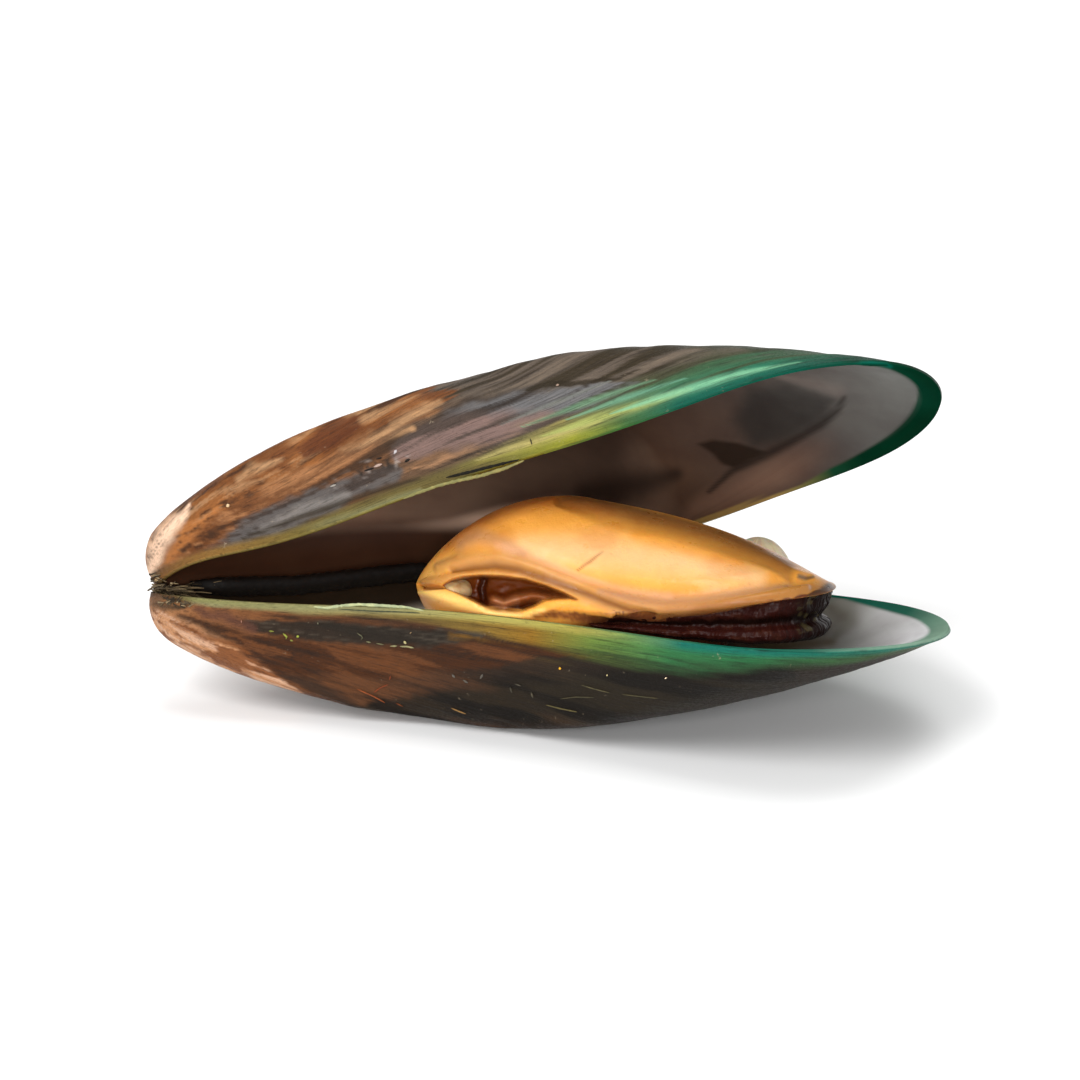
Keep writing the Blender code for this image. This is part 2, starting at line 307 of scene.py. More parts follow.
def give(made, name, values):
    """Stores numbers, or colours where each value has three parts, on a piece's vertices."""
    values = np.asarray(values, np.float32)
    if values.ndim == 2:
        layer = made.data.attributes.new(name, "FLOAT_COLOR", "POINT")
        opaque = np.column_stack([values, np.ones(len(values))])
        layer.data.foreach_set("color", opaque.astype(np.float32).ravel())
    else:
        layer = made.data.attributes.new(name, "FLOAT", "POINT")
        layer.data.foreach_set("value", values)


def lerp(a, b, t):
    """Moves colours or numbers from a to b by the share t."""
    t = np.asarray(t)
    if np.ndim(a) + np.ndim(b) > 0:
        t = t[..., None]
    return np.asarray(a) * (1 - t) + np.asarray(b) * t


def colour_run(value, stops):
    """Colours along a run of (place, colour) stops."""
    places = [s[0] for s in stops]
    return np.stack([np.interp(value, places, [s[1][c] for s in stops]) for c in range(3)], axis=-1)


def srgb(red, green, blue):
    """A colour named by its screen values, 0 to 255, as the linear light that shaders use."""
    value = np.array([red, green, blue]) / 255
    return tuple(np.where(value <= 0.04045, value / 12.92, ((value + 0.055) / 1.055) ** 2.4))


# Fine mesh of a valve
COLUMNS = 640
RINGS = 112
TYPICAL_REACH = 20.0
TYPICAL_FULLNESS = 2.4
ROUND_KEEL = 6.0
ROUND_MOST = 50.0
THIN_BEAK = 0.6
SMOOTH_INNER = 14
RELIEF = 0.16
SWELLS = 0.2


def ring_shares():
    """How far out each ring of a dome stands, 0 to 1, closer together where the wall is steep."""
    q = 1 - np.linspace(1, 0, 4000) ** 3
    height = VALVE_DEPTH * (1 - q**DOME_FALL) ** (1 / TYPICAL_FULLNESS)
    length = np.concatenate([[0], np.cumsum(np.hypot(np.diff(q) * TYPICAL_REACH, np.diff(height)))])
    return np.interp(np.linspace(0, length[-1], RINGS), length, q)


def even_edge():
    """The valve's outline as evenly spaced points."""
    edge = closed_curve(VALVE_OUTLINE, 60)
    shut = np.concatenate([edge, edge[:1]])
    length = np.concatenate([[0], np.cumsum(np.linalg.norm(np.diff(shut, axis=0), axis=1))])
    place = np.linspace(0, length[-1], COLUMNS, endpoint=False)
    return np.stack([np.interp(place, length, shut[:, k]) for k in range(3)], axis=-1)


def rounded(values, q):
    """Values round each ring, smoothed along it: more towards the dome's middle, not at all at the rim."""
    spread = np.minimum(ROUND_KEEL * (1 - q) / np.maximum(q, 1e-3), ROUND_MOST)
    wave = math.tau * np.arange(COLUMNS // 2 + 1) / COLUMNS
    kept = np.exp(-0.5 * (wave * spread) ** 2)
    return np.fft.irfft(np.fft.rfft(values, axis=1) * kept, COLUMNS, axis=1)


def growth_of(x, y, height):
    """Two coordinates of the growth lines: which line, 1 at the rim, and how far along it in millimetres."""
    start = np.array(HINGE_START)
    axis = np.array(HINGE_END) - start
    axis = axis / np.linalg.norm(axis)
    step = np.stack([x, y], axis=-1) - start
    along = step @ axis
    away = np.maximum(step @ np.array([axis[1], -axis[0]]), 0.4)
    page = np.arctan2(height, away)
    across = np.hypot(away, height)
    return np.exp(-page / 0.66), np.hypot(along, across) - 100 * np.arctan2(across, along)


def valve_grid(name, side):
    """A valve's outer wall as a grid from its middle to its rim, with its plan, rim distance and growth."""
    edge = even_edge()
    step = edge[:, :2] - DOME_CENTRE
    q = ring_shares()[:, None]
    x = DOME_CENTRE[0] + rounded(q * step[:, 0], q)
    y = DOME_CENTRE[1] + rounded(q * step[:, 1], q)
    fullness = blend_by_direction(step, FULL_BEAK[name], FULL_REAR, FULL_BELLY, FULL_BACK)
    fullness = rounded(fullness * np.ones_like(q), q)
    height = VALVE_DEPTH * (1 - q**DOME_FALL) ** (1 / fullness)
    growth, run = growth_of(x, y, height)
    reach = BEAK_REACH[name] * np.exp(-((np.maximum(x, 0) / BEAK_LENGTH) ** 2))
    shifted = x - reach * np.minimum(1, height / BEAK_RISE)
    points = np.stack([shifted, y, side * height + q**4 * edge[:, 2]], axis=-1)
    return points, x, y, height, growth, run


def valve_mesh(name, side, place):
    """One valve as a closed wall with fine relief, and what its colours and materials need at each vertex."""
    outer, x, y, height, growth, run = valve_grid(name, side)
    normal = normals_of(outer)
    if np.sum(normal[..., 2]) * side < 0:
        normal = -normal
    normal[0] = (0, 0, side)
    lengths = np.linalg.norm(np.diff(outer, axis=0), axis=-1)
    rim = np.concatenate([np.cumsum(lengths[::-1], axis=0)[::-1], np.zeros((1, outer.shape[1]))])
    share = np.clip(x / REAR_TIP, 0, 1)
    wall = (WALL_BEAK + (WALL_REAR - WALL_BEAK) * share) * (EDGE_SHARE + (1 - EDGE_SHARE) * ease(rim, 0, 3.5))
    wall = wall * (1 - THIN_BEAK * ease(x, 30, 10) * ease(rim, 0.6, 3.0))
    inner = outer - normal * wall[..., None]
    for _ in range(SMOOTH_INNER):
        around = 0.5 * (np.roll(inner, 1, axis=1) + np.roll(inner, -1, axis=1))
        inner[1:-3] = 0.25 * (2 * around[1:-3] + inner[:-4] + inner[2:-2])
    inner[0] = inner[1].mean(axis=0)
    seed = 10 if side > 0 else 40
    fine = rough_noise(run / 22, growth * 26, seed, 4)
    broad = rough_noise(x / 9, y / 6 + height / 5, seed + 5, 2)
    calm = ease(rim, 0, 2.0) * ease(np.linspace(0, 1, RINGS), 0, 0.08)[:, None]
    far = 0.25 + 0.75 * ease(x, 4, 30)
    relief = (RELIEF * fine * far * (0.4 + 0.6 * ease(broad, -0.4, 0.5)) + SWELLS * broad) * calm
    outer = outer + normal * (relief - 0.06)[..., None]
    low = moved(place, outer)
    if side < 0:
        low[..., 2] = np.maximum(low[..., 2], 0.0)
    bend = 0.5 * (outer[-1] + inner[-1])
    bend = bend + (bend - 0.5 * (outer[-3] + inner[-3])) * 0.12
    rows = [low[1:], moved(place, bend)[None], moved(place, inner[::-1][:-1])]
    grid = np.concatenate(rows)
    columns = grid.shape[1]
    points = np.concatenate([grid.reshape(-1, 3), low[0, :1], moved(place, inner[0, :1])])
    faces = shut_faces(len(grid), columns)

    def spread(value):
        """A value of the outer grid, given to every vertex of the wall."""
        rows = np.concatenate([value[1:], value[-1:], value[::-1][:-1]])
        return np.concatenate([rows.ravel(), value[0, :1], value[0, :1]])

    within = np.concatenate([np.zeros_like(rim[1:]), np.full((1, columns), 0.5), np.ones_like(rim[1:])])
    facts = {
        "x": spread(x),
        "y": spread(y),
        "height": spread(height),
        "rim": spread(rim),
        "growth": spread(growth),
        "run": spread(run),
        "within": np.concatenate([within.ravel(), [0.0, 1.0]]),
        "normal": np.concatenate([normal[1:], normal[-1:], -normal[::-1][:-1]]).reshape(-1, 3),
    }
    facts["normal"] = np.concatenate([facts["normal"], normal[0, :1], -normal[0, :1]])
    facts["normal"] = facts["normal"] @ np.array(place)[:3, :3].T
    return points, faces, facts


# Shell colours
TAN = srgb(176, 124, 82)
CREAM = srgb(162, 124, 88)
BROWN = srgb(100, 58, 28)
DARK_BROWN = srgb(58, 34, 20)
UMBER = srgb(34, 25, 18)
CREST_GREY = srgb(84, 74, 65)
SLATE = srgb(84, 80, 78)
SOOT = srgb(36, 32, 28)
MAUVE = srgb(116, 94, 88)
BLUE_GREY = srgb(98, 97, 98)
OLIVE = srgb(88, 78, 44)
LIME = srgb(146, 142, 74)
SAGE = srgb(82, 98, 64)
MINT = srgb(56, 108, 80)
RIM_TEAL = srgb(14, 80, 64)
DEEP_GREEN = srgb(4, 48, 30)
RUST = srgb(60, 32, 13)
PALE_RIM = srgb(134, 131, 92)
SCAR = srgb(38, 27, 20)

# Edges of the nacre, in the camera's picture
UPPER_NACRE = (
    (400, 480), (700, 398), (740, 380), (772, 373), (802, 366), (822, 361), (852, 361.5), (884.7, 367.8),
    (905.8, 377.4), (917.2, 388.9), (915.3, 404.2), (905.8, 419.5), (886.6, 436.7), (861.8, 452),
    (842.6, 462.5), (829, 469), (700, 560), (150, 600), (150, 560),
)
LOWER_NACRE = (
    (560, 590), (835, 596), (864, 604.7), (905, 615.9), (925, 625), (929, 631), (923, 637.5), (902, 646),
    (880, 662), (850, 668), (762, 665), (660, 650), (560, 635),
)

# Areas and lines on the upper valve's inside, in the camera's picture; the brown and grey hollows are where shade is
# painted
BROWN_SHADED_HOLLOW = (
    (324, 500), (480, 440), (640, 380), (720, 380), (720, 520), (560, 500), (500, 510), (450, 523),
    (400, 529), (324, 532),
)
GREY_SHADED_HOLLOW = ((748, 388), (790, 382), (838, 398), (826, 420), (790, 440), (752, 448), (734, 420))
SCAR_OUTLINE = ((698, 444), (712, 440), (738, 443), (766, 452), (734, 468), (722, 464), (713, 454))
SCAR_LINE = ((844, 398), (838, 410), (822, 424), (795, 440), (766, 455), (732, 471), (709, 492))
PINK_BAND = ((676, 528), (696, 510), (726, 498), (776, 474), (850, 440))

# Pale patches on the upper valve's worn keel: path, half widths and strength
WORN_PATCHES = (
    (((238, 480), (256, 468), (282, 458)), (5, 9, 4), 0.8),
    (((214, 496), (232, 488), (262, 480)), (4, 7, 4), 0.6),
    (((344, 448), (372, 436), (412, 428)), (6, 12, 7), 0.75),
    (((392, 424), (412, 414), (440, 403)), (7, 12, 8), 0.9),
    (((360, 420), (374, 414)), (5, 6), 0.6),
)

# Lighter streaks above the upper valve's rim, partly the shell's paler streaks and partly painted highlight: path,
# half widths and colour
PALE_AND_HIGHLIGHT_STREAKS = (
    (((500, 425), (552, 404), (610, 381)), (1, 4, 1), srgb(104, 106, 100)),
    (((522, 427), (588, 402), (656, 379)), (1, 6, 1), srgb(98, 134, 104)),
    (((566, 420), (625, 398), (686, 378)), (1, 6, 1), srgb(94, 142, 116)),
    (((476, 461), (508, 449), (552, 438), (600, 421)), (1, 7, 9, 4), srgb(158, 146, 92)),
    (((540, 437), (590, 421), (640, 406), (690, 389)), (1, 8, 8, 3), srgb(150, 158, 88)),
    (((610, 414), (655, 399), (700, 386), (740, 374), (800, 362)), (1, 6, 8, 6, 1), srgb(112, 168, 132)),
)

# Marks by the lower valve's beak: path, half widths, colour and strength
BEAK_MARKS = (
    (((172, 622), (204, 636), (248, 652)), (3, 6, 3), srgb(108, 60, 26), 0.8),
    (((182, 642), (216, 662)), (3, 4), srgb(108, 60, 26), 0.8),
    (((236, 672), (268, 688)), (3, 4), srgb(108, 60, 26), 0.8),
    (((196, 610), (226, 618), (254, 628)), (6, 12, 8), srgb(86, 54, 42), 0.8),
    (((154, 604), (168, 608), (186, 606)), (8, 7, 4), srgb(66, 50, 34), 0.9),
)


def hinge_gap(facts):
    """Distance in plan from the hinge line."""
    axis = np.array(HINGE_END) - HINGE_START
    axis = axis / np.linalg.norm(axis)
    return np.abs((facts["x"] - HINGE_START[0]) * axis[1] - (facts["y"] - HINGE_START[1]) * axis[0])


def paint_crest(colour, where, streak, thread):
    """Grey crest, mauve and blue-grey middle, and warm and torn streaks between them."""
    crest = laid(where, ((430, 392), (500, 374), (600, 363), (700, 358), (770, 357)), (18, 26, 28, 16, 8))
    grey = lerp(CREST_GREY, srgb(46, 38, 25), ease(thread, -0.12, 0.22))
    grey = lerp(grey, srgb(100, 88, 76), ease(-thread, 0.15, 0.45))
    colour = lerp(colour, grey, 0.92 * ease(crest, 0, 0.5))
    middle = laid(where, ((400, 452), (450, 432), (520, 416), (590, 394), (640, 383)), (16, 32, 34, 20, 3))
    soft = lerp(MAUVE, srgb(72, 60, 54), ease(streak, 0.0, 0.35))
    cool = lerp(BLUE_GREY, UMBER, 0.9 * ease(thread, 0.05, 0.3))
    soft = lerp(soft, cool, ease(where[1], 420, 404))
    colour = lerp(colour, soft, 0.92 * ragged(middle, 0.25 * streak))
    warm = laid(where, ((414, 468), (446, 459), (490, 447), (540, 432), (596, 413)), (1, 8, 10, 9, 1))
    colour = lerp(colour, srgb(156, 116, 84), 0.75 * warm * ease(-streak, -0.3, 0.2))
    torn = laid(where, ((526, 391), (550, 385), (592, 381), (616, 378), (642, 369)), (2, 5, 4, 4, 1))
    return lerp(colour, srgb(40, 33, 22), 0.85 * ragged(torn, 0.5 * thread))


def paint_keel(colour, facts, where, streak, thread, blotch):
    """Worn brown keel with pale patches, pits, an amber slope, and a painted highlight on the umbo."""
    px = where[0]
    path = ((150, 556), (200, 500), (262, 464), (330, 434), (400, 406), (450, 394))
    keel = laid(where, path, (16, 28, 28, 28, 27, 18))
    keel = keel * ease(px + 50 * streak + 30 * thread, 452, 404)
    worn = lerp(srgb(130, 80, 40), BROWN, ease(blotch, -0.2, 0.3))
    worn = lerp(worn, DARK_BROWN, 0.9 * ease(streak, 0.02, 0.32))
    worn = lerp(worn, CREAM, 0.7 * ease(-thread, 0.12, 0.42) * ease(blotch, 0.3, -0.3))
    colour = lerp(colour, worn, 0.95 * ease(keel, 0, 0.35))
    rusty = laid(where, ((304, 450), (330, 434), (354, 422)), (12, 24, 12))
    colour = lerp(colour, srgb(84, 44, 22), 0.9 * ease(rusty, 0.0, 0.7) * ease(streak, -0.7, -0.1))
    for path, widths, share in WORN_PATCHES:
        patch = share * laid(where, path, widths) * (0.95 + 0.9 * thread + 0.4 * streak)
        colour = lerp(colour, CREAM, np.clip(patch, 0, 1))
    pits = ease(rough_noise(facts["run"] / 5, facts["growth"] * 40, 88, 3), 0.12, 0.35)
    colour = lerp(colour, srgb(46, 32, 24), 0.7 * pits * keel * ease(px, 380, 430))
    amber = laid(where, ((168, 562), (190, 530), (226, 502)), (8, 15, 6))
    colour = lerp(colour, srgb(172, 108, 56), 0.8 * amber * ease(streak, 0.4, -0.1))
    # Painted highlight: pale pink on the umbo.
    pale = laid(where, ((150, 572), (157, 548), (172, 526), (190, 506)), (9, 16, 13, 4))
    return lerp(colour, srgb(240, 202, 172), 0.95 * pale * ease(thread + 0.5 * streak, 1.1, 0.1))


def paint_flank(colour, facts, where, thread, blotch):
    """Slate flank towards the beak with a painted sheen along it, its dents, brown below the umbo, and the dark
    crust at the beak.
    """
    flank = laid(where, ((212, 552), (254, 530), (320, 502), (392, 472)), (9, 24, 25, 18))
    slate_and_sheen = lerp(SLATE, srgb(58, 50, 46), ease(thread, 0.0, 0.35))
    # Painted sheen: lighter grey along the middle of the slate.
    slate_and_sheen = brushed(slate_and_sheen, where, ((262, 528), (310, 508), (350, 496)), (7, 12, 7), srgb(122, 117, 113), 0.8)
    colour = lerp(colour, slate_and_sheen, 0.95 * ragged(flank, 0.25 * blotch))
    dents = laid(where, ((336, 484), (376, 466), (404, 458)), (9, 13, 8))
    speck = rough_noise(facts["x"] / 0.9, (facts["y"] + facts["height"]) / 0.7, 93, 2)
    colour = lerp(colour, srgb(150, 140, 134), 0.8 * dents * ease(speck, 0.2, 0.5))
    colour = lerp(colour, SOOT, 0.85 * dents * ease(speck, -0.15, -0.45))
    colour = brushed(colour, where, ((176, 572), (200, 556), (226, 540)), (6, 9, 4), srgb(90, 54, 34), 0.75)
    crust = laid(where, ((152, 582), (160, 574), (174, 570)), (8, 11, 7))
    return lerp(colour, lerp(srgb(62, 52, 34), srgb(30, 25, 16), ease(speck, -0.2, 0.3)), 0.9 * crust)


def paint_upper_rim(colour, facts, where, streak, thread):
    """Green towards the upper valve's rim, pale and painted highlight streaks, a painted shade line, and the rim's
    edge with a painted highlight.
    """
    x, rim = facts["x"], facts["rim"]
    widen = np.interp(x, (0, 20, 44, 56, 64, 74, 86, 96), (0.7, 1.4, 2.6, 6.0, 10.0, 13.5, 12.0, 9.0))
    near = 1 - ease(rim + 0.45 * widen * streak, 0.3 * widen, widen)
    green = colour_run(x, ((0, OLIVE), (40, OLIVE), (48, srgb(150, 144, 66)), (55, LIME), (62, SAGE),
                           (70, MINT), (80, srgb(34, 102, 78)), (92, DEEP_GREEN)))
    ribs = rough_noise(facts["run"] / 60, facts["growth"] * 30, 97, 3)
    green = lerp(green, srgb(50, 74, 46), 0.75 * ease(rim, 2.2, 6.5) * ease(x, 58, 70))
    green = lerp(green, srgb(52, 54, 32), 0.85 * (ease(ribs, -0.02, 0.26) * ease(rim, 0.8, 3.4)))
    colour = lerp(colour, green, near * ease(facts["y"], 60, 20))
    # Painted shade: a dark line just above the lip.
    groove = ((242, 539), (273, 527), (300, 517), (330, 507), (368, 494), (398, 484.5), (420, 478))
    colour = brushed(colour, where, groove, (2, 4, 5, 5.5, 5.5, 4.5, 2), srgb(42, 34, 22), 0.85)
    # Lighter streaks, partly painted highlight.
    for path, widths, tone in PALE_AND_HIGHLIGHT_STREAKS:
        colour = lerp(colour, tone, 0.85 * laid(where, path, widths) * ease(thread, 0.8, 0.1))
    wide = np.interp(x, (0, 12, 40, 60, 70, 96), (0.8, 1.3, 1.5, 1.8, 2.4, 3.0))
    lip = colour_run(x, ((0, srgb(112, 72, 38)), (9, srgb(134, 98, 48)), (20, srgb(104, 90, 44)), (44, OLIVE),
                         (56, srgb(126, 128, 38)), (63, srgb(58, 92, 50)), (70, RIM_TEAL), (84, RIM_TEAL),
                         (94, DEEP_GREEN)))
    colour = lerp(colour, lip, 1 - ease(rim, 0.3, wide))
    # Painted highlight along the lip's lower edge.
    lip_highlight = ((296, 533), (330, 521.5), (372, 507), (399, 497), (421, 489.5))
    return brushed(colour, where, lip_highlight, (1.5, 4, 4, 4, 3), srgb(122, 121, 84), 0.9)


def upper_outer_colour(facts, px, py, seen):
    """Colours of the upper valve's outside: worn brown keel, slate and mauve flank, green to the rim."""
    x, growth, run = facts["x"], facts["growth"], facts["run"]
    streak = rough_noise(run / 18, growth * 22, 70, 5)
    thread = rough_noise(run / 30, growth * 48, 75, 4)
    blotch = rough_noise(x / 7, facts["height"] / 4 + facts["y"] / 6, 80, 4)
    body = colour_run(x + 4 * blotch, ((0, TAN), (8, BROWN), (26, srgb(104, 68, 42)), (36, srgb(86, 66, 50)),
                                       (50, CREST_GREY), (70, srgb(64, 60, 46)), (96, srgb(34, 58, 42))))
    colour = lerp(body, UMBER, 0.7 * ease(streak, 0.05, 0.45))
    colour = lerp(colour, TAN, 0.5 * ease(-streak, 0.1, 0.6) * (1 - ease(x, 30, 44)))
    uneven = (*wavered(px, py, 60), seen)
    colour = paint_crest(colour, uneven, streak, thread)
    colour = paint_keel(colour, facts, uneven, streak, thread, blotch)
    colour = paint_flank(colour, facts, uneven, thread, blotch)
    return paint_upper_rim(colour, facts, (px, py, seen), streak, thread)


def paint_lower_side(colour, where, streak, thread):
    """Rust, near-black and gold parts of the lower valve's side, its dark underside, partly painted shade, and its
    light beak, partly painted highlight, with brown marks.
    """
    path = ((180, 622), (260, 652), (380, 664), (480, 654), (560, 648), (610, 656))
    rust = laid(where, path, (14, 28, 28, 22, 12, 6))
    red = lerp(RUST, srgb(44, 26, 15), ease(thread, 0.0, 0.35))
    red = lerp(red, srgb(94, 55, 28), 0.8 * ease(-streak, 0.1, 0.4))
    colour = lerp(colour, red, 0.92 * ragged(rust, 0.25 * streak))
    dark = laid(where, ((246, 624), (300, 630), (380, 636), (430, 638), (480, 634)), (7, 15, 17, 12, 5))
    black = lerp(srgb(34, 29, 23), srgb(58, 52, 44), ease(thread, 0.0, 0.4))
    colour = lerp(colour, black, 0.93 * ragged(dark, 0.3 * thread))
    # The underside: the shell's own dark colour, made darker as painted shade.
    path = ((330, 716), (420, 708), (520, 700), (640, 694), (720, 690), (790, 676))
    deep = laid(where, path, (8, 26, 42, 38, 26, 12))
    floor = lerp(srgb(32, 26, 17), srgb(15, 12, 8), ease(streak, -0.2, 0.3))
    colour = lerp(colour, floor, 0.93 * ease(deep + 0.3 * streak, 0.05, 0.8) * ease(deep, 0.0, 0.3))
    gold = laid(where, ((452, 634), (520, 636), (580, 640)), (6, 13, 10))
    colour = lerp(colour, srgb(112, 78, 28), 0.85 * gold * ease(thread, 0.4, -0.1))
    # The beak's pale pinkish colour, partly painted highlight along its lower edge.
    beak = laid(where, ((156, 618), (190, 642), (250, 672), (298, 693)), (14, 26, 20, 5))
    skin = lerp(srgb(186, 134, 94), srgb(202, 160, 130), ease(-thread, -0.2, 0.25))
    skin = lerp(skin, srgb(124, 76, 44), ease(streak, 0.1, 0.4))
    colour = lerp(colour, skin, 0.9 * ease(beak, 0, 0.6))
    for mark in BEAK_MARKS:
        colour = brushed(colour, where, *mark)
    return colour


def paint_lower_rim(colour, facts, streak, thread):
    """Olive and green towards the lower valve's rim, and the thin pale rim itself."""
    x, rim = facts["x"], facts["rim"]
    widen = np.interp(x, (0, 20, 44, 54, 64, 76, 86, 96), (0.7, 1.0, 1.8, 5.0, 7.6, 7.6, 6.0, 3.6))
    near = 1 - ease(rim + 0.4 * widen * streak, 0.4 * widen, 1.15 * widen)
    green = colour_run(x, ((0, srgb(88, 62, 42)), (5, srgb(96, 72, 48)), (9, PALE_RIM),
                           (40, srgb(128, 106, 46)), (50, srgb(124, 90, 27)), (58, srgb(94, 116, 50)),
                           (68, srgb(44, 104, 60)), (78, srgb(36, 102, 60)), (96, srgb(56, 66, 34))))
    dull = 0.6 * ease(thread, 0.05, 0.35) * ease(x, 50, 60) * ease(rim, 1.5, 3.0)
    colour = lerp(colour, lerp(green, srgb(30, 58, 34), dull), near)
    wide = np.interp(x, (0, 6, 16, 40, 60, 72, 90, 96), (0.35, 0.4, 0.8, 1.0, 1.4, 2.5, 2.3, 1.2))
    lip = colour_run(x, ((0, srgb(84, 58, 38)), (4.5, srgb(92, 66, 42)), (8, srgb(130, 128, 80)),
                         (30, PALE_RIM), (44, srgb(158, 148, 78)), (56, srgb(150, 140, 66)), (63, srgb(96, 126, 70)),
                         (70, srgb(12, 94, 80)), (96, srgb(14, 98, 80))))
    return lerp(colour, lip, 1 - ease(rim, 0.25, wide))


def lower_outer_colour(facts, px, py, seen):
    """Colours of the lower valve's outside: rust and dark olive, green near the rear rim, a pale thin rim."""
    x, growth, run = facts["x"], facts["growth"], facts["run"]
    streak = rough_noise(run / 20, growth * 22, 110, 5)
    thread = rough_noise(run / 34, growth * 46, 115, 4)
    blotch = rough_noise(x / 8, facts["height"] / 4 + facts["y"] / 6, 120, 4)
    body = colour_run(x + 4 * blotch, ((0, TAN), (8, srgb(130, 84, 50)), (18, srgb(96, 58, 32)),
                                       (40, srgb(66, 42, 26)), (58, srgb(36, 31, 22)),
                                       (96, srgb(34, 30, 18))))
    colour = lerp(body, UMBER, 0.8 * ease(streak + 0.5 * ease(x, 8, 50) - 0.25, -0.1, 0.5))
    colour = paint_lower_side(colour, (*wavered(px, py, 64), seen), streak, thread)
    return paint_lower_rim(colour, facts, streak, thread)


def paint_lip(colour, facts, where, lip, rear, cloud, nacre, nacre_from):
    """The coloured lip round the nacre: along the rim, and where it shows at the rear by its drawn edge."""
    px, py, seen = where
    rim = facts["rim"]
    outside = 1 - ease(rim + 0.2 * cloud, 0.75 * rear, 1.1 * rear)
    drawn = 1 - inside(px, py, closed_curve(nacre, 4), 4)
    outside += (drawn - outside) * seen * ease(px, *nacre_from) * ease(rim, 8.0, 5.5)
    outside = np.maximum(outside, 1 - ease(rim, 0.4, 0.9))
    return lerp(colour, lip, outside)


def paint_root(colour, facts, tone):
    """Horn along the hinge line."""
    root = (1 - ease(hinge_gap(facts), 0.5, 2.5)) * (1 - ease(facts["x"], 40, 50))
    return lerp(colour, tone, root)


def paint_hollows(colour, where):
    """Painted shade in the brown and grey hollows of the upper valve's inside, a painted highlight, its pink band,
    muscle scar and scar line.
    """
    px, py, seen = where
    # Brown over the hollow by the beak, darker deeper in: partly the shell's own brown, partly painted shade.
    tone = colour_run(px, ((324, srgb(180, 144, 120)), (350, srgb(145, 115, 95)), (400, srgb(100, 78, 63)),
                           (450, srgb(92, 71, 57)), (500, srgb(76, 58, 46)), (550, srgb(67, 50, 40)),
                           (600, srgb(56, 42, 34)), (680, srgb(64, 48, 39))))
    colour = lerp(colour, tone, 0.95 * inside(px, py, BROWN_SHADED_HOLLOW, 16) * seen * ease(px, 680, 610))
    # Painted shadow, darker still, deep in the hollow.
    colour = brushed(colour, where, ((584, 492), (640, 484), (676, 474)), (16, 30, 12), srgb(42, 31, 26), 0.8)
    # Painted shade: dark grey over the hollow towards the rear.
    colour = lerp(colour, srgb(48, 45, 42), 0.85 * inside(px, py, GREY_SHADED_HOLLOW, 22) * seen)
    pink = laid(where, PINK_BAND, (8, 18, 26, 30, 34))
    colour = lerp(colour, srgb(136, 104, 86), 0.65 * pink * ease(px, 850, 770))
    colour = brushed(colour, where, SCAR_LINE, (5, 6, 7, 8, 9, 6, 4), srgb(34, 26, 22), 0.8)
    colour = lerp(colour, SCAR, 0.9 * inside(px, py, SCAR_OUTLINE, 5) * seen)
    # Painted highlight: a lighter grey cone on the nacre.
    return brushed(colour, where, ((772, 375), (810, 383), (838, 391)), (3, 10, 12), srgb(122, 112, 105), 0.6)


def upper_inner_colour(facts, px, py, seen):
    """Colours of the upper valve's inside: brown by the beak, partly painted shade, grey nacre painted dark as
    shade, and the green lip.
    """
    x = facts["x"]
    where = (px, py, seen)
    cloud = rough_noise(x / 11, facts["y"] / 9, 150, 3)
    # Pale by the beak, then brown and grey nacre darkened as painted shade inside the valve.
    colour = colour_run(x + 4 * cloud, ((0, srgb(250, 214, 184)), (20, srgb(252, 218, 190)),
                                        (38, srgb(224, 190, 164)), (56, srgb(86, 64, 50)),
                                        (72, srgb(78, 66, 60)), (84, srgb(96, 94, 90)),
                                        (96, srgb(108, 110, 106))))
    colour = paint_hollows(colour, where)
    rear = np.interp(x, (0, 48, 62, 80, 96), (0.5, 0.7, 1.2, 2.6, 3.6))
    front = colour_run(x, ((0, srgb(120, 96, 54)), (30, srgb(134, 126, 66)), (50, srgb(120, 118, 44)),
                           (62, srgb(60, 106, 54)), (70, RIM_TEAL), (84, RIM_TEAL), (96, DEEP_GREEN)))
    back = colour_run(x, ((0, srgb(110, 92, 54)), (50, srgb(170, 136, 80)), (67, srgb(168, 140, 84)),
                          (72, srgb(112, 112, 66)), (75.5, srgb(24, 72, 48)), (80, DEEP_GREEN)))
    green = lerp(front, back, ease(facts["y"], 10, 22))
    colour = paint_lip(colour, facts, where, green, rear, cloud, UPPER_NACRE, (730, 770))
    colour = brushed(colour, where, ((800, 362), (850, 358), (890, 366)), (3, 5, 5), srgb(8, 96, 80), 0.7)
    return paint_root(colour, facts, srgb(60, 38, 26))


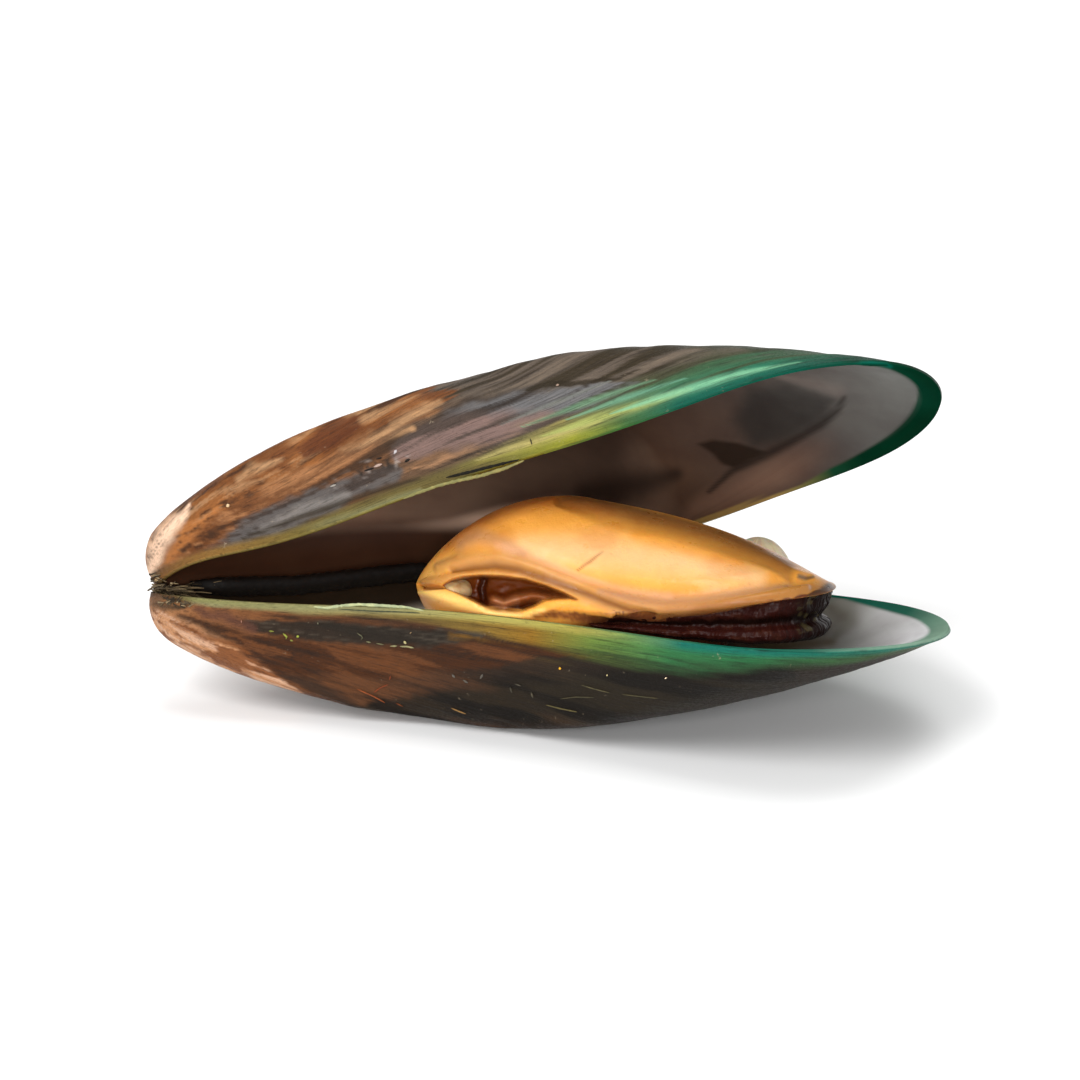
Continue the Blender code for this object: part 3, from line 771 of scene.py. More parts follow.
def lower_inner_colour(facts, px, py, seen):
    """Colours of the lower valve's inside: pale by the beak, grey, then pale nacre, a painted reflection, a painted
    shade, and the green lip.
    """
    x = facts["x"]
    where = (px, py, seen)
    cloud = rough_noise(x / 11, facts["y"] / 9, 150, 3)
    colour = colour_run(x + 4 * cloud, ((0, srgb(255, 252, 236)), (36, srgb(250, 246, 226)),
                                        (62, srgb(104, 102, 92)), (78, srgb(124, 123, 116)),
                                        (90, srgb(206, 206, 206)), (96, srgb(212, 214, 214))))
    # Painted reflection: olive brown where the dark fringe is mirrored in the damp nacre under it.
    colour = brushed(colour, where, ((700, 646), (780, 646), (832, 642)), (8, 10, 8), srgb(92, 76, 46), 0.85)
    # Painted shade: darker grey near the rear tip.
    colour = brushed(colour, where, ((828, 606), (850, 622), (836, 636)), (8, 18, 8), srgb(92, 88, 76), 0.6)
    rear = np.interp(x, (0, 48, 62, 80, 96), (0.5, 0.7, 1.2, 2.2, 3.2))
    green = colour_run(x, ((0, srgb(90, 70, 46)), (8, srgb(122, 118, 78)), (50, srgb(128, 124, 70)),
                           (64, srgb(70, 112, 74)), (74, srgb(10, 84, 68)), (86, srgb(36, 88, 72)),
                           (96, srgb(126, 156, 136))))
    colour = paint_lip(colour, facts, where, green, rear, cloud, LOWER_NACRE, (800, 840))
    return paint_root(colour, facts, srgb(50, 40, 30))


def build_valve(name, side, place):
    """A valve with its colours, and its outer points that face the camera with their places in the picture."""
    points, faces, facts = valve_mesh(name, side, place)
    px, py = picture(points)
    toward = EYE - points
    seen = (np.sum(toward * facts["normal"], axis=1) > 0).astype(float)
    if name == "upper_valve":
        slot, outer_colour, inner_colour = "upper_shell", upper_outer_colour, upper_inner_colour
    else:
        slot, outer_colour, inner_colour = "lower_shell", lower_outer_colour, lower_inner_colour
    outside = outer_colour(facts, px, py, seen)
    colour = np.where(facts["within"][:, None] > 0.25, inner_colour(facts, px, py, seen), outside)
    valve = add_piece(name + "_shell", points, faces, slot, name)
    give(valve, "tint", colour)
    for fact in ("growth", "run", "within", "rim"):
        give(valve, fact, facts[fact])
    shown = (seen > 0) & (facts["within"] < 0.75)
    return valve, (points[shown], px[shown], py[shown])


def new_material(name):
    """A material and its node tree and shader."""
    made = bpy.data.materials.new(name)
    made.use_nodes = True
    return made, made.node_tree, made.node_tree.nodes["Principled BSDF"]


def node(tree, kind, inputs=(), **settings):
    """A node with its settings, and its inputs joined to other nodes' sockets or given plain values."""
    made = tree.nodes.new(kind)
    for key, value in settings.items():
        setattr(made, key, value)
    for key, value in inputs:
        if isinstance(value, bpy.types.NodeSocket):
            tree.links.new(value, made.inputs[key])
        else:
            made.inputs[key].default_value = value
    return made


def attribute(tree, name, output="Fac"):
    """What a piece stores on its vertices under this name."""
    return node(tree, "ShaderNodeAttribute", attribute_name=name).outputs[output]


def mixed(tree, factor, a, b, blend="MIX"):
    """Two colours put together by a factor: mixed, or the way that blend says."""
    made = node(tree, "ShaderNodeMix", data_type="RGBA", blend_type=blend)
    for index, value in ((0, factor), (6, a), (7, b)):
        if isinstance(value, bpy.types.NodeSocket):
            tree.links.new(value, made.inputs[index])
        else:
            made.inputs[index].default_value = value if index == 0 else (*value, 1.0)
    return made.outputs[2]


def reading(tree, value, low, high, to_low, to_high):
    """A value mapped from one range to another, and held within it."""
    ends = (("From Min", low), ("From Max", high), ("To Min", to_low), ("To Max", to_high))
    return node(tree, "ShaderNodeMapRange", (("Value", value), *ends)).outputs["Result"]


def times(tree, value, factor):
    """A value multiplied by a number."""
    return node(tree, "ShaderNodeMath", ((0, value), (1, factor)), operation="MULTIPLY").outputs[0]


def noise_node(tree, vector, scale, detail, roughness):
    """A noise texture's value."""
    inputs = (("Vector", vector), ("Scale", scale), ("Detail", detail), ("Roughness", roughness))
    return node(tree, "ShaderNodeTexNoise", inputs).outputs["Fac"]


def place_mm(tree):
    """Where a point is on the object, in millimetres."""
    here = node(tree, "ShaderNodeTexCoord").outputs["Object"]
    larger = node(tree, "ShaderNodeVectorMath", ((0, here), ("Scale", 1 / MM)), operation="SCALE")
    return larger.outputs["Vector"]


def line_space(tree, run_scale, growth_scale):
    """Texture space drawn out along the growth lines."""
    along = times(tree, attribute(tree, "run"), run_scale)
    across = times(tree, attribute(tree, "growth"), growth_scale)
    return node(tree, "ShaderNodeCombineXYZ", (("X", along), ("Y", across))).outputs["Vector"]


def bump(tree, height, distance, strength, under=None):
    """A normal with relief that is this distance deep, in metres, on top of any relief under it."""
    inputs = [("Height", height), ("Distance", distance), ("Strength", strength)]
    if under:
        inputs.append(("Normal", under))
    return node(tree, "ShaderNodeBump", inputs).outputs["Normal"]


def outer_shell_material(name):
    """Worn outer shell: streaks along the growth lines, pits and scuffs over the piece's own colours."""
    made, tree, shader = new_material(name)
    tint = attribute(tree, "tint", "Color")
    here = place_mm(tree)
    fine = noise_node(tree, line_space(tree, 0.12, 110.0), 1.0, 5.0, 0.65)
    hair = noise_node(tree, line_space(tree, 0.35, 420.0), 1.0, 3.0, 0.6)
    grain = noise_node(tree, here, 2.6, 5.0, 0.65)
    flecks = noise_node(tree, here, 0.9, 6.0, 0.7)
    colour = mixed(tree, reading(tree, fine, 0.5, 0.68, 0.0, 0.62), tint, srgb(26, 20, 17))
    lighter = mixed(tree, 1.0, tint, (1.75, 1.62, 1.45), "MULTIPLY")
    colour = mixed(tree, reading(tree, hair, 0.53, 0.68, 0.0, 0.55), colour, lighter)
    colour = mixed(tree, reading(tree, flecks, 0.66, 0.74, 0.0, 0.5), colour, srgb(168, 152, 128))
    colour = mixed(tree, reading(tree, grain, 0.58, 0.72, 0.0, 0.35), colour, srgb(30, 24, 20))
    tree.links.new(colour, shader.inputs["Base Color"])
    tree.links.new(reading(tree, grain, 0.35, 0.7, 0.36, 0.6), shader.inputs["Roughness"])
    relief = bump(tree, fine, 0.00018, 0.7)
    relief = bump(tree, hair, 0.00008, 0.7, relief)
    tree.links.new(bump(tree, grain, 0.00012, 0.6, relief), shader.inputs["Normal"])
    shader.inputs["Specular IOR Level"].default_value = 0.1
    return made


SHEEN = (0.82, 0.78, 0.8)


def nacre_material(name):
    """Smooth inner shell with a soft sheen and faint lines that follow the rim."""
    made, tree, shader = new_material(name)
    tint = attribute(tree, "tint", "Color")
    here = place_mm(tree)
    cloud = noise_node(tree, here, 0.16, 4.0, 0.5)
    lines = noise_node(tree, line_space(tree, 0.04, 24.0), 1.0, 2.0, 0.5)
    sheen = mixed(tree, 1.0, tint, SHEEN, "MULTIPLY")
    colour = mixed(tree, reading(tree, cloud, 0.35, 0.7, 0.0, 1.0), tint, sheen)
    colour = mixed(tree, reading(tree, lines, 0.5, 0.72, 0.0, 0.12), colour, UMBER)
    tree.links.new(colour, shader.inputs["Base Color"])
    tree.links.new(reading(tree, cloud, 0.3, 0.7, 0.4, 0.55), shader.inputs["Roughness"])
    tree.links.new(bump(tree, lines, 0.00005, 0.2), shader.inputs["Normal"])
    shine = reading(tree, attribute(tree, "rim"), 2.0, 5.0, 0.0, 0.08)
    tree.links.new(shine, shader.inputs["Specular IOR Level"])
    return made


def dress_valve(valve, name):
    """Outer shell on the outside, nacre on the inside and round the lip."""
    valve.data.materials.append(outer_shell_material(name + "_outer"))
    valve.data.materials.append(nacre_material(name + "_nacre"))
    within = np.empty(len(valve.data.vertices), np.float32)
    valve.data.attributes["within"].data.foreach_get("value", within)
    for face in valve.data.polygons:
        if min(within[i] for i in face.vertices) > 0.25:
            face.material_index = 1


def make_camera():
    """The photograph's view: a long lens, a little above the table."""
    data = bpy.data.cameras.new("camera")
    data.sensor_width = SENSOR
    data.lens = SENSOR * FOCAL / PICTURE
    data.clip_start = 0.05
    data.clip_end = 20.0
    camera = bpy.data.objects.new("camera", data)
    bpy.context.scene.collection.objects.link(camera)
    right, up, forward = (Vector(v) for v in (CAMERA_RIGHT, CAMERA_UP, CAMERA_FORWARD))
    turn = Matrix((right, up, -forward)).transposed().to_4x4()
    camera.matrix_world = Matrix.Translation((Vector(STAND) + Vector(CAMERA_OFFSET)) * MM) @ turn
    bpy.context.scene.camera = camera


def area_light(name, place, target, size, power):
    """A soft square light, aimed at a place, with distances in metres."""
    data = bpy.data.lights.new(name, "AREA")
    data.size = size
    data.energy = power
    light = bpy.data.objects.new(name, data)
    bpy.context.scene.collection.objects.link(light)
    light.location = place
    light.rotation_euler = (Vector(target) - Vector(place)).to_track_quat("-Z", "Y").to_euler()


def make_studio():
    """A pale floor and soft light from above, in front and the side."""
    mesh = bpy.data.meshes.new("floor")
    corners = [(x * FLOOR_HALF, y * FLOOR_HALF, 0) for x, y in ((-1, -1), (1, -1), (1, 1), (-1, 1))]
    mesh.from_pydata(corners, [], [(0, 1, 2, 3)])
    floor = bpy.data.objects.new("floor", mesh)
    bpy.context.scene.collection.objects.link(floor)
    made, _, shader = new_material("floor")
    shader.inputs["Base Color"].default_value = FLOOR_TONE
    shader.inputs["Roughness"].default_value = 0.9
    shader.inputs["Specular IOR Level"].default_value = 0.1
    mesh.materials.append(made)
    world = bpy.data.worlds.new("studio")
    world.use_nodes = True
    sky = world.node_tree.nodes["Background"]
    sky.inputs["Color"].default_value = (1.0, 1.0, 1.0, 1.0)
    sky.inputs["Strength"].default_value = WORLD_POWER
    bpy.context.scene.world = world
    for light in LIGHTS:
        area_light(*light)


# Soft body: the same outline and heights as its solid
BODY_OUTLINE = (
    (29.6, 12.0),
    (32.4, 5.0),
    (38.0, 0.2),
    (48.0, -1.2),
    (60.0, -2.0),
    (68.0, -3.0),
    (75.6, -2.6),
    (80.6, 0.3),
    (83.0, 6.0),
    (81.6, 12.0),
    (76.0, 17.4),
    (66.0, 19.8),
    (56.0, 24.0),
    (44.0, 25.0),
    (34.5, 20.5),
    (30.8, 15.8),
)
BODY_CENTRE = (48.5, 11.5)
BODY_LEVEL = 1.0
TAIL_LIFT = 3.8
TAIL_FROM = 52.0
TAIL_TO = 84.0
BODY_RISE = 11.4
BODY_SINK = 10.4
BODY_FULL = {"nose": 1.25, "tail": 0.86, "belly": 1.7, "back": 1.5, "under": 1.5, "ledge": 0.8}
UNDERCUT = 4.6
UNDERCUT_FROM = 50.0
UNDERCUT_TO = 62.0
BODY_COLUMNS_PER_SPAN = 36
BODY_TOP_ROWS = 116
BODY_LOW_ROWS = 26

# Paths on the body, in the camera's picture
GAPE_OUTLINE = (
    (444, 587), (455, 581.5), (466, 578.5), (480, 577), (502, 577.5), (525, 580), (546, 586.5), (564, 593.5),
    (578, 600), (560, 599), (545, 600), (534, 606), (522, 610), (502, 610), (487, 606), (472, 599),
    (457, 592),
)
GAPE_DEPTH = 5.2
INNER_LIP = (
    (424, 583), (443, 581), (460, 575.5), (480, 573), (502, 573.5), (525, 576), (547, 582.5), (565, 589.5),
    (582, 597), (610, 607), (640, 615), (668, 619),
)
LIP_GROOVE = (
    (452, 571), (472, 568.5), (495, 566.5), (518, 570), (543, 578), (564, 585.5), (587, 594), (610, 603),
    (630, 610), (655, 614),
)
OUTER_LIP = (
    (440, 568), (460, 562.5), (480, 561), (502, 561), (518, 564), (539, 571), (564, 580.5), (590, 589.5),
    (610, 596), (630, 602), (650, 607), (680, 611), (712, 608), (742, 601), (778, 594), (806, 588),
)
DOME_GROOVE = (
    (500, 548), (525, 554), (543, 562), (562, 570), (581, 577.5), (610, 585.5), (638, 591), (667, 595),
    (700, 592.5), (738, 588), (778, 580.5), (806, 579.5),
)
LOWER_LIP = (
    (422, 592), (440, 596), (460, 603), (480, 609), (502, 614.5), (525, 616), (545, 610), (558, 604.5),
    (574, 604.5), (592, 610), (612, 614),
)
NOSE_NOTCH = ((414, 586), (426, 587.5), (446, 587.5))
INNER_FOLD = ((494, 600), (504, 604), (518, 599), (532, 596), (552, 598), (570, 601))
INNER_FOLD_WIDTHS = (9, 10, 10, 10, 9, 6)
CLEFT = ((486, 577), (482, 588), (484, 602))
CREASE = ((577, 569.5), (590, 562), (603, 551))
SHOULDER = ((470, 545), (485, 540), (500, 546))
RIDGE_EDGE = (
    (560, 501), (590, 511), (610, 518), (638, 525), (662, 528), (690, 536), (718, 545), (746, 555),
    (768, 563), (792, 574),
)
TAIL_EDGE = (
    (640, 617), (660, 620.5), (682, 620.5), (701, 617.5), (721, 614), (742, 611), (758, 607), (782, 604),
    (803, 599), (822, 593), (834, 588),
)
TAIL_SPOT = ((799, 575), (806, 576.5), (813, 578))

# Flesh colours
GOLD = srgb(232, 160, 66)
# Painted highlight colour for the dome's crown.
DOME_HIGHLIGHT_GOLD = srgb(226, 180, 126)
AMBER = srgb(196, 112, 34)
LIP_TAN = srgb(182, 130, 70)
OCHRE = srgb(124, 70, 14)
PINKISH = srgb(176, 128, 90)
# Brown of the back ridge, also painted shade under the upper valve.
RIDGE_BROWN_AND_SHADE = srgb(128, 80, 38)
# Painted shade: dark browns for the gape and its cleft.
GAPE_SHADE_BROWN = srgb(108, 50, 8)
CLEFT_SHADE_BROWN = srgb(74, 26, 4)
STAIN = srgb(120, 66, 36)
MAROON = srgb(44, 15, 11)
PALE_LIP = srgb(250, 200, 116)

# Plain brushes on the flesh, laid in turn: path, half widths, colour and strength
# Painted light and shade on the dome: a painted highlight over its crown, amber painted shade along its top edge
# under the upper valve, and a gold streak.
DOME_LIGHT_AND_SHADE = (
    (((520, 548), (600, 552), (690, 564), (760, 577)), (24, 34, 30, 14), DOME_HIGHLIGHT_GOLD, 0.85),
    (((446, 544), (472, 520), (510, 500), (560, 500), (610, 508)), (12, 22, 24, 16, 6), AMBER, 0.85),
    (((636, 534), (690, 548), (740, 562)), (12, 14, 8), srgb(228, 146, 40), 0.5),
)
NOSE_TONES = (
    (((462, 546), (480, 538), (504, 544), (524, 554)), (12, 16, 12, 6), PINKISH, 0.7),
    (((416, 580), (432, 572), (448, 562)), (12, 16, 10), srgb(252, 196, 104), 0.6),
)
LIP_TONES = (
    (((600, 592), (648, 600), (690, 600), (742, 591), (790, 583)), (6, 13, 14, 12, 7), PINKISH, 0.85),
    (DOME_GROOVE[:8], 8, srgb(214, 156, 112), 0.6),
    (LIP_GROOVE, (3, 6, 7, 7, 8, 7, 6, 6, 5, 3), OCHRE, 0.9),
    (((700, 612), (742, 604), (790, 594), (822, 587)), 10, srgb(160, 106, 44), 0.8),
    (LOWER_LIP[:7], (8, 11, 12, 11, 9, 7, 4), PALE_LIP, 0.9),
    # Painted shade: a dark line in the crease and darker colour in the nose notch.
    (CREASE, (1.3, 1.9, 1.0), srgb(124, 64, 16), 0.85),
    (NOSE_NOTCH, (3, 3, 1.5), srgb(150, 84, 30), 0.8),
)


def body_level(x):
    """Height of the body's widest level, which rises towards the tail."""
    return BODY_LEVEL + TAIL_LIFT * ease(x, TAIL_FROM, TAIL_TO)


def upper_skin(edge, centre, rows):
    """The body's upper skin, as a grid from its middle to its widest level."""
    q = np.sin(np.linspace(0, math.pi / 2, rows))[:, None]
    step = edge - centre
    flat = centre + q[..., None] * step
    full = BODY_FULL
    fullness = blend_by_direction(step, full["nose"], full["tail"], full["belly"], full["back"])
    height = body_level(flat[..., 0]) + BODY_RISE * np.maximum(0, 1 - q**2) ** (1 / fullness)
    return np.concatenate([flat, height[..., None]], axis=-1)


def lower_skin(edge, centre, rows):
    """The body's lower skin, drawn in below its rear half to leave room for the fringe."""
    q = np.sin(np.linspace(0, math.pi / 2, rows))[:, None]
    step = edge - centre
    ledge = ease(edge[:, 0], UNDERCUT_FROM, UNDERCUT_TO)
    shrink = 1 - UNDERCUT * ledge * ease(q, 1.0, 0.8) / np.linalg.norm(step, axis=1)
    flat = centre + q[..., None] * step * shrink[..., None]
    level = body_level(flat[..., 0])
    fullness = BODY_FULL["under"] + (BODY_FULL["ledge"] - BODY_FULL["under"]) * ledge
    height = level - (BODY_SINK + level) * np.maximum(0, 1 - q**2) ** (1 / fullness)
    return np.concatenate([flat, height[..., None]], axis=-1)


def sculpt_body(px, py, seen):
    """Folds and hollows of the body, as how far each point moves out along its normal, in millimetres."""
    out = 0.10 * rough_noise(px / 38, py / 26, 200, 3)
    out += 0.42 * stroke(px, py, INNER_LIP, (6, 9, 10, 10, 10, 10, 10, 10, 10, 9, 8, 5))
    out -= 0.55 * stroke(px, py, LIP_GROOVE, (5, 8, 9, 9, 9, 9, 8, 8, 7, 5))
    out += 0.45 * stroke(px, py, OUTER_LIP, (8, 12, 14, 14, 14, 14, 14, 14, 14, 14, 13, 12, 11, 10, 9, 6))
    groove = stroke(px, py, DOME_GROOVE, (10, 15, 15, 15, 15, 15, 15, 15, 14, 13, 11, 8))
    out -= 0.50 * groove * ease(px, 500, 575)
    out += 0.50 * stroke(px, py, LOWER_LIP, (7, 10, 12, 11, 9, 8, 9, 10, 10, 8, 5))
    out -= 0.80 * stroke(px, py, NOSE_NOTCH, (6, 5, 2))
    out += 0.45 * stroke(px, py, SHOULDER, (22, 26, 22))
    out += 0.175 * stroke(px, py, ((796, 572), (812, 576), (828, 582)), (6, 12, 8))
    out -= 0.30 * stroke(px, py, RIDGE_EDGE, (8, 12, 12, 12, 12, 12, 10, 10, 8, 6))
    return out * seen


def gape_depth(px, py):
    """How deep the gape is sunk away from the camera, in millimetres, with its inner folds."""
    hollow = inside(px, py, GAPE_OUTLINE, 4)
    depth = GAPE_DEPTH * hollow * (0.35 + 0.65 * ease(px, 580, 545))
    depth -= 2.4 * stroke(px, py, INNER_FOLD, INNER_FOLD_WIDTHS) * hollow
    depth += 1.6 * stroke(px, py, CLEFT, (4, 6, 4)) * hollow
    return depth - 0.3 * rough_noise(px / 10, py / 6, 210, 2) * hollow


def paint_stains(colour, px, py, crumbs, grain):
    """Brown to maroon stains along the lower lip, where the frill begins."""
    stained = stroke(px, py, ((536, 615), (556, 614), (580, 617), (606, 623), (650, 632)), (6, 8, 9, 9, 9))
    soft = 0.8 * ease(stained + 0.25 * grain, 0.1, 0.9) * ease(stained, 0.0, 0.4)
    colour = lerp(colour, srgb(168, 104, 48), soft)
    colour = lerp(colour, STAIN, 0.85 * ease(stained + 0.8 * crumbs, 0.4, 1.2) * ease(stained, 0.0, 0.5))
    return lerp(colour, MAROON, 0.9 * ease(stained + 0.7 * crumbs, 0.3, 1.0) * ease(px, 562, 626))


def paint_gape(colour, px, py):
    """The gape's hollow, painted dark brown as shade and darker lower down, with its inner fold, a painted highlight
    on it, and painted shade in its cleft.
    """
    where = (px, py, 1.0)
    # Painted shade: dark brown in the gape, darker lower down.
    wall = lerp(GAPE_SHADE_BROWN, srgb(92, 38, 4), ease(py - np.interp(px, (480, 560), (586, 594)), -2, 8))
    fold = stroke(px, py, INNER_FOLD, INNER_FOLD_WIDTHS)
    wall = lerp(wall, srgb(130, 76, 38), ease(fold, 0.1, 0.7))
    # Painted highlight on the inner fold.
    wall = brushed(wall, where, ((496, 601), (504, 605), (516, 600)), 6, srgb(164, 114, 80), 0.7)
    # Painted shade in the cleft.
    wall = brushed(wall, where, CLEFT, (7, 9, 7), CLEFT_SHADE_BROWN, 1.0)
    return lerp(colour, wall, inside(px, py, GAPE_OUTLINE, 3))


def paint_tail(colour, px, py, crumbs, grain):
    """The dark ruffle below the tail's edge, a grey spot and the dark tip."""
    edge = np.interp(px, [p[0] for p in TAIL_EDGE], [p[1] for p in TAIL_EDGE])
    ruffle = edge - 3.2 - 1.8 * np.abs(np.sin(px * 0.21))
    frill = ease(py - ruffle + 4.0 * crumbs * ease(px, 670, 612), -0.8, 1.2) * ease(px, 588, 636)
    colour = lerp(colour, lerp(MAROON, srgb(84, 36, 22), ease(grain, 0.0, 0.5)), 0.95 * frill)
    colour = brushed(colour, (px, py, 1.0), TAIL_SPOT, 2.4, srgb(60, 58, 58), 0.8)
    dark = stroke(px, py, ((800, 604), (820, 595), (833, 587), (835, 578)), (4, 9, 11, 8))
    return lerp(colour, srgb(60, 42, 24), 0.92 * ease(dark, 0.0, 0.7))


def body_colour(px, py, seen, level_gap):
    """Colours of the cooked flesh."""
    where = (px, py, 1.0)
    cloud = rough_noise(px / 46, py / 30, 220, 3)
    grain = rough_noise(px / 5, py / 4, 230, 3)
    crumbs = rough_noise(px / 1.7, py / 1.5, 240, 2)
    colour = GOLD
    # Painted highlight and shade on the dome.
    for brush in DOME_LIGHT_AND_SHADE:
        colour = brushed(colour, where, *brush)
    colour = lerp(colour, AMBER, 0.25 * ease(cloud, 0.0, 0.6))
    # Brown back ridge: the flesh's own brown, darkened as painted shade under the upper valve.
    back = inside(px, py, RIDGE_EDGE + ((800, 560), (740, 520), (660, 480), (560, 480)), 18)
    colour = lerp(colour, RIDGE_BROWN_AND_SHADE, 0.9 * back)
    for brush in NOSE_TONES:
        colour = brushed(colour, where, *brush)
    band = stroke(px, py, OUTER_LIP, (10, 14, 16, 16, 16, 15, 15, 15, 16, 18, 20, 22, 22, 20, 18, 14))
    colour = lerp(colour, LIP_TAN, 0.85 * np.maximum(band, stroke(px, py, INNER_LIP, 9)))
    for brush in LIP_TONES:
        colour = brushed(colour, where, *brush)
    colour = paint_stains(colour, px, py, crumbs, grain)
    colour = paint_gape(colour, px, py)
    colour = paint_tail(colour, px, py, crumbs, grain)
    colour = lerp(lerp(GOLD, AMBER, 0.4 * ease(cloud, -0.2, 0.5)), colour, seen)
    return lerp(colour, STAIN, 0.8 * ease(level_gap, 0.5, -0.6) * ease(px, 540, 600))


def build_body():
    """The plump cooked body with its lips, folds and gape."""
    edge = closed_curve(BODY_OUTLINE, BODY_COLUMNS_PER_SPAN)
    top = upper_skin(edge, np.array(BODY_CENTRE), BODY_TOP_ROWS)
    low = lower_skin(edge, np.array(BODY_CENTRE), BODY_LOW_ROWS)
    grid = np.concatenate([top[1:], low[::-1][1:-1]])
    columns = grid.shape[1]
    local = np.concatenate([grid.reshape(-1, 3), top[0, :1], low[0, :1]])
    normal = normals_of(grid)
    normal = np.concatenate([normal.reshape(-1, 3), [[0, 0, 1]], [[0, 0, -1]]])
    if normal[columns // 4 + columns * (BODY_TOP_ROWS // 2), 2] < 0:
        normal[:-2] *= -1
    normal = normal @ np.array(LIE)[:3, :3].T
    points = moved(LIE, local)
    px, py = picture(points)
    toward = EYE - points
    toward = toward / np.linalg.norm(toward, axis=1, keepdims=True)
    facing = np.sum(toward * normal, axis=1)
    seen = ease(facing, 0.0, 0.2)
    level_gap = local[:, 2] - body_level(local[:, 0])
    folds = sculpt_body(px, py, seen)
    sunk = gape_depth(px, py) * seen
    points = points + normal * folds[:, None] - toward * sunk[:, None]
    body = add_piece("body_flesh", points, shut_faces(len(grid), columns), "body", "body")
    give(body, "tint", body_colour(px, py, seen, level_gap))
    body.data.materials.append(flesh_material("body_flesh", 0.35, 0.0))
    return body


# Mantle fringe: where it runs along the body's margin, and its profile from top to bottom
FRINGE_START = 3.15
FRINGE_STOP = 11.0
FRINGE_COLUMNS = 760
FRINGE_ROWS = 46
FRINGE_TOP_GAP = 0.1
FRINGE_FLOOR = -0.75
FRINGE_INSET = 1.0
FRINGE_THICK = 1.1
FRINGE_PROFILE = (
    (0.0, 0.6), (0.06, 0.35), (0.16, 0.2), (0.3, 0.15), (0.42, -0.2), (0.55, -0.6), (0.62, -0.5), (0.7, 0.3),
    (0.8, 0.55), (0.9, 0.4), (1.0, -0.4),
)
FRINGE_BROWN = srgb(54, 24, 16)
FRINGE_BLACK = srgb(14, 6, 4)
FRINGE_OLIVE = srgb(70, 62, 40)

# Muscle stump
MUSCLE_PLACE = (67.0, 24.6)
MUSCLE_SIZE = (8.6, 7.0)
MUSCLE_TOP = 7.4
MUSCLE_MIDDLE = 2.0
MUSCLE_FOOT = -3.6
MUSCLE_BEIGE = srgb(255, 234, 200)

# Foot in the gape
FOOT_PLACE = (37.4, 4.2, 1.5)
FOOT_SIZE = (3.8, 5.0, 2.6)
FOOT_PALE = srgb(234, 202, 150)

# Ligament: its run along the hinge line, and its cross-section as inset from the edge and half height
LIGAMENT_RUN = (-0.6, 41.5)
LIGAMENT_RINGS = 170
LIGAMENT_EDGE_HEIGHTS = (-1.25, 0.15)
LIGAMENT_SLOPE = 0.27
LIGAMENT_SECTION = ((-0.15, 0.2), (0.8, 0.4), (1.8, 0.75), (2.7, 1.15), (3.3, 1.1), (3.7, 0.7), (3.85, 0.25))
LIGAMENT_BLACK = srgb(10, 6, 4)

# Byssus fibres at the beaks
FIBRES = 48
FIBRE_STEPS = 9
FIBRE_STRAW = srgb(140, 122, 92)
FIBRE_DARK = srgb(40, 32, 22)


def skirt(run, top, floor, outward, profile, thick):
    """A closed skirt hung along a run: its front follows a profile, and its back stands thick behind."""
    rows = len(profile)
    share = np.linspace(0, 1, rows)[:, None]
    height = top + (floor - top) * share
    front = run[None] + outward[None] * profile[..., None]
    back = run[None] + outward[None] * (profile.mean(axis=0) - thick)[None, :, None]
    back = np.broadcast_to(back, front.shape)
    front = np.concatenate([front, height[..., None]], axis=-1)
    back = np.concatenate([back, height[..., None]], axis=-1)
    return np.concatenate([front, back[::-1]]).transpose(1, 0, 2)


def closed_tube(grid):
    """Faces of a tube given as rings of points, with both ends shut."""
    rings, sides = grid.shape[:2]
    faces = grid_faces(rings, sides)
    faces.append(list(range(sides)))
    faces.append([(rings - 1) * sides + k for k in reversed(range(sides))])
    return faces


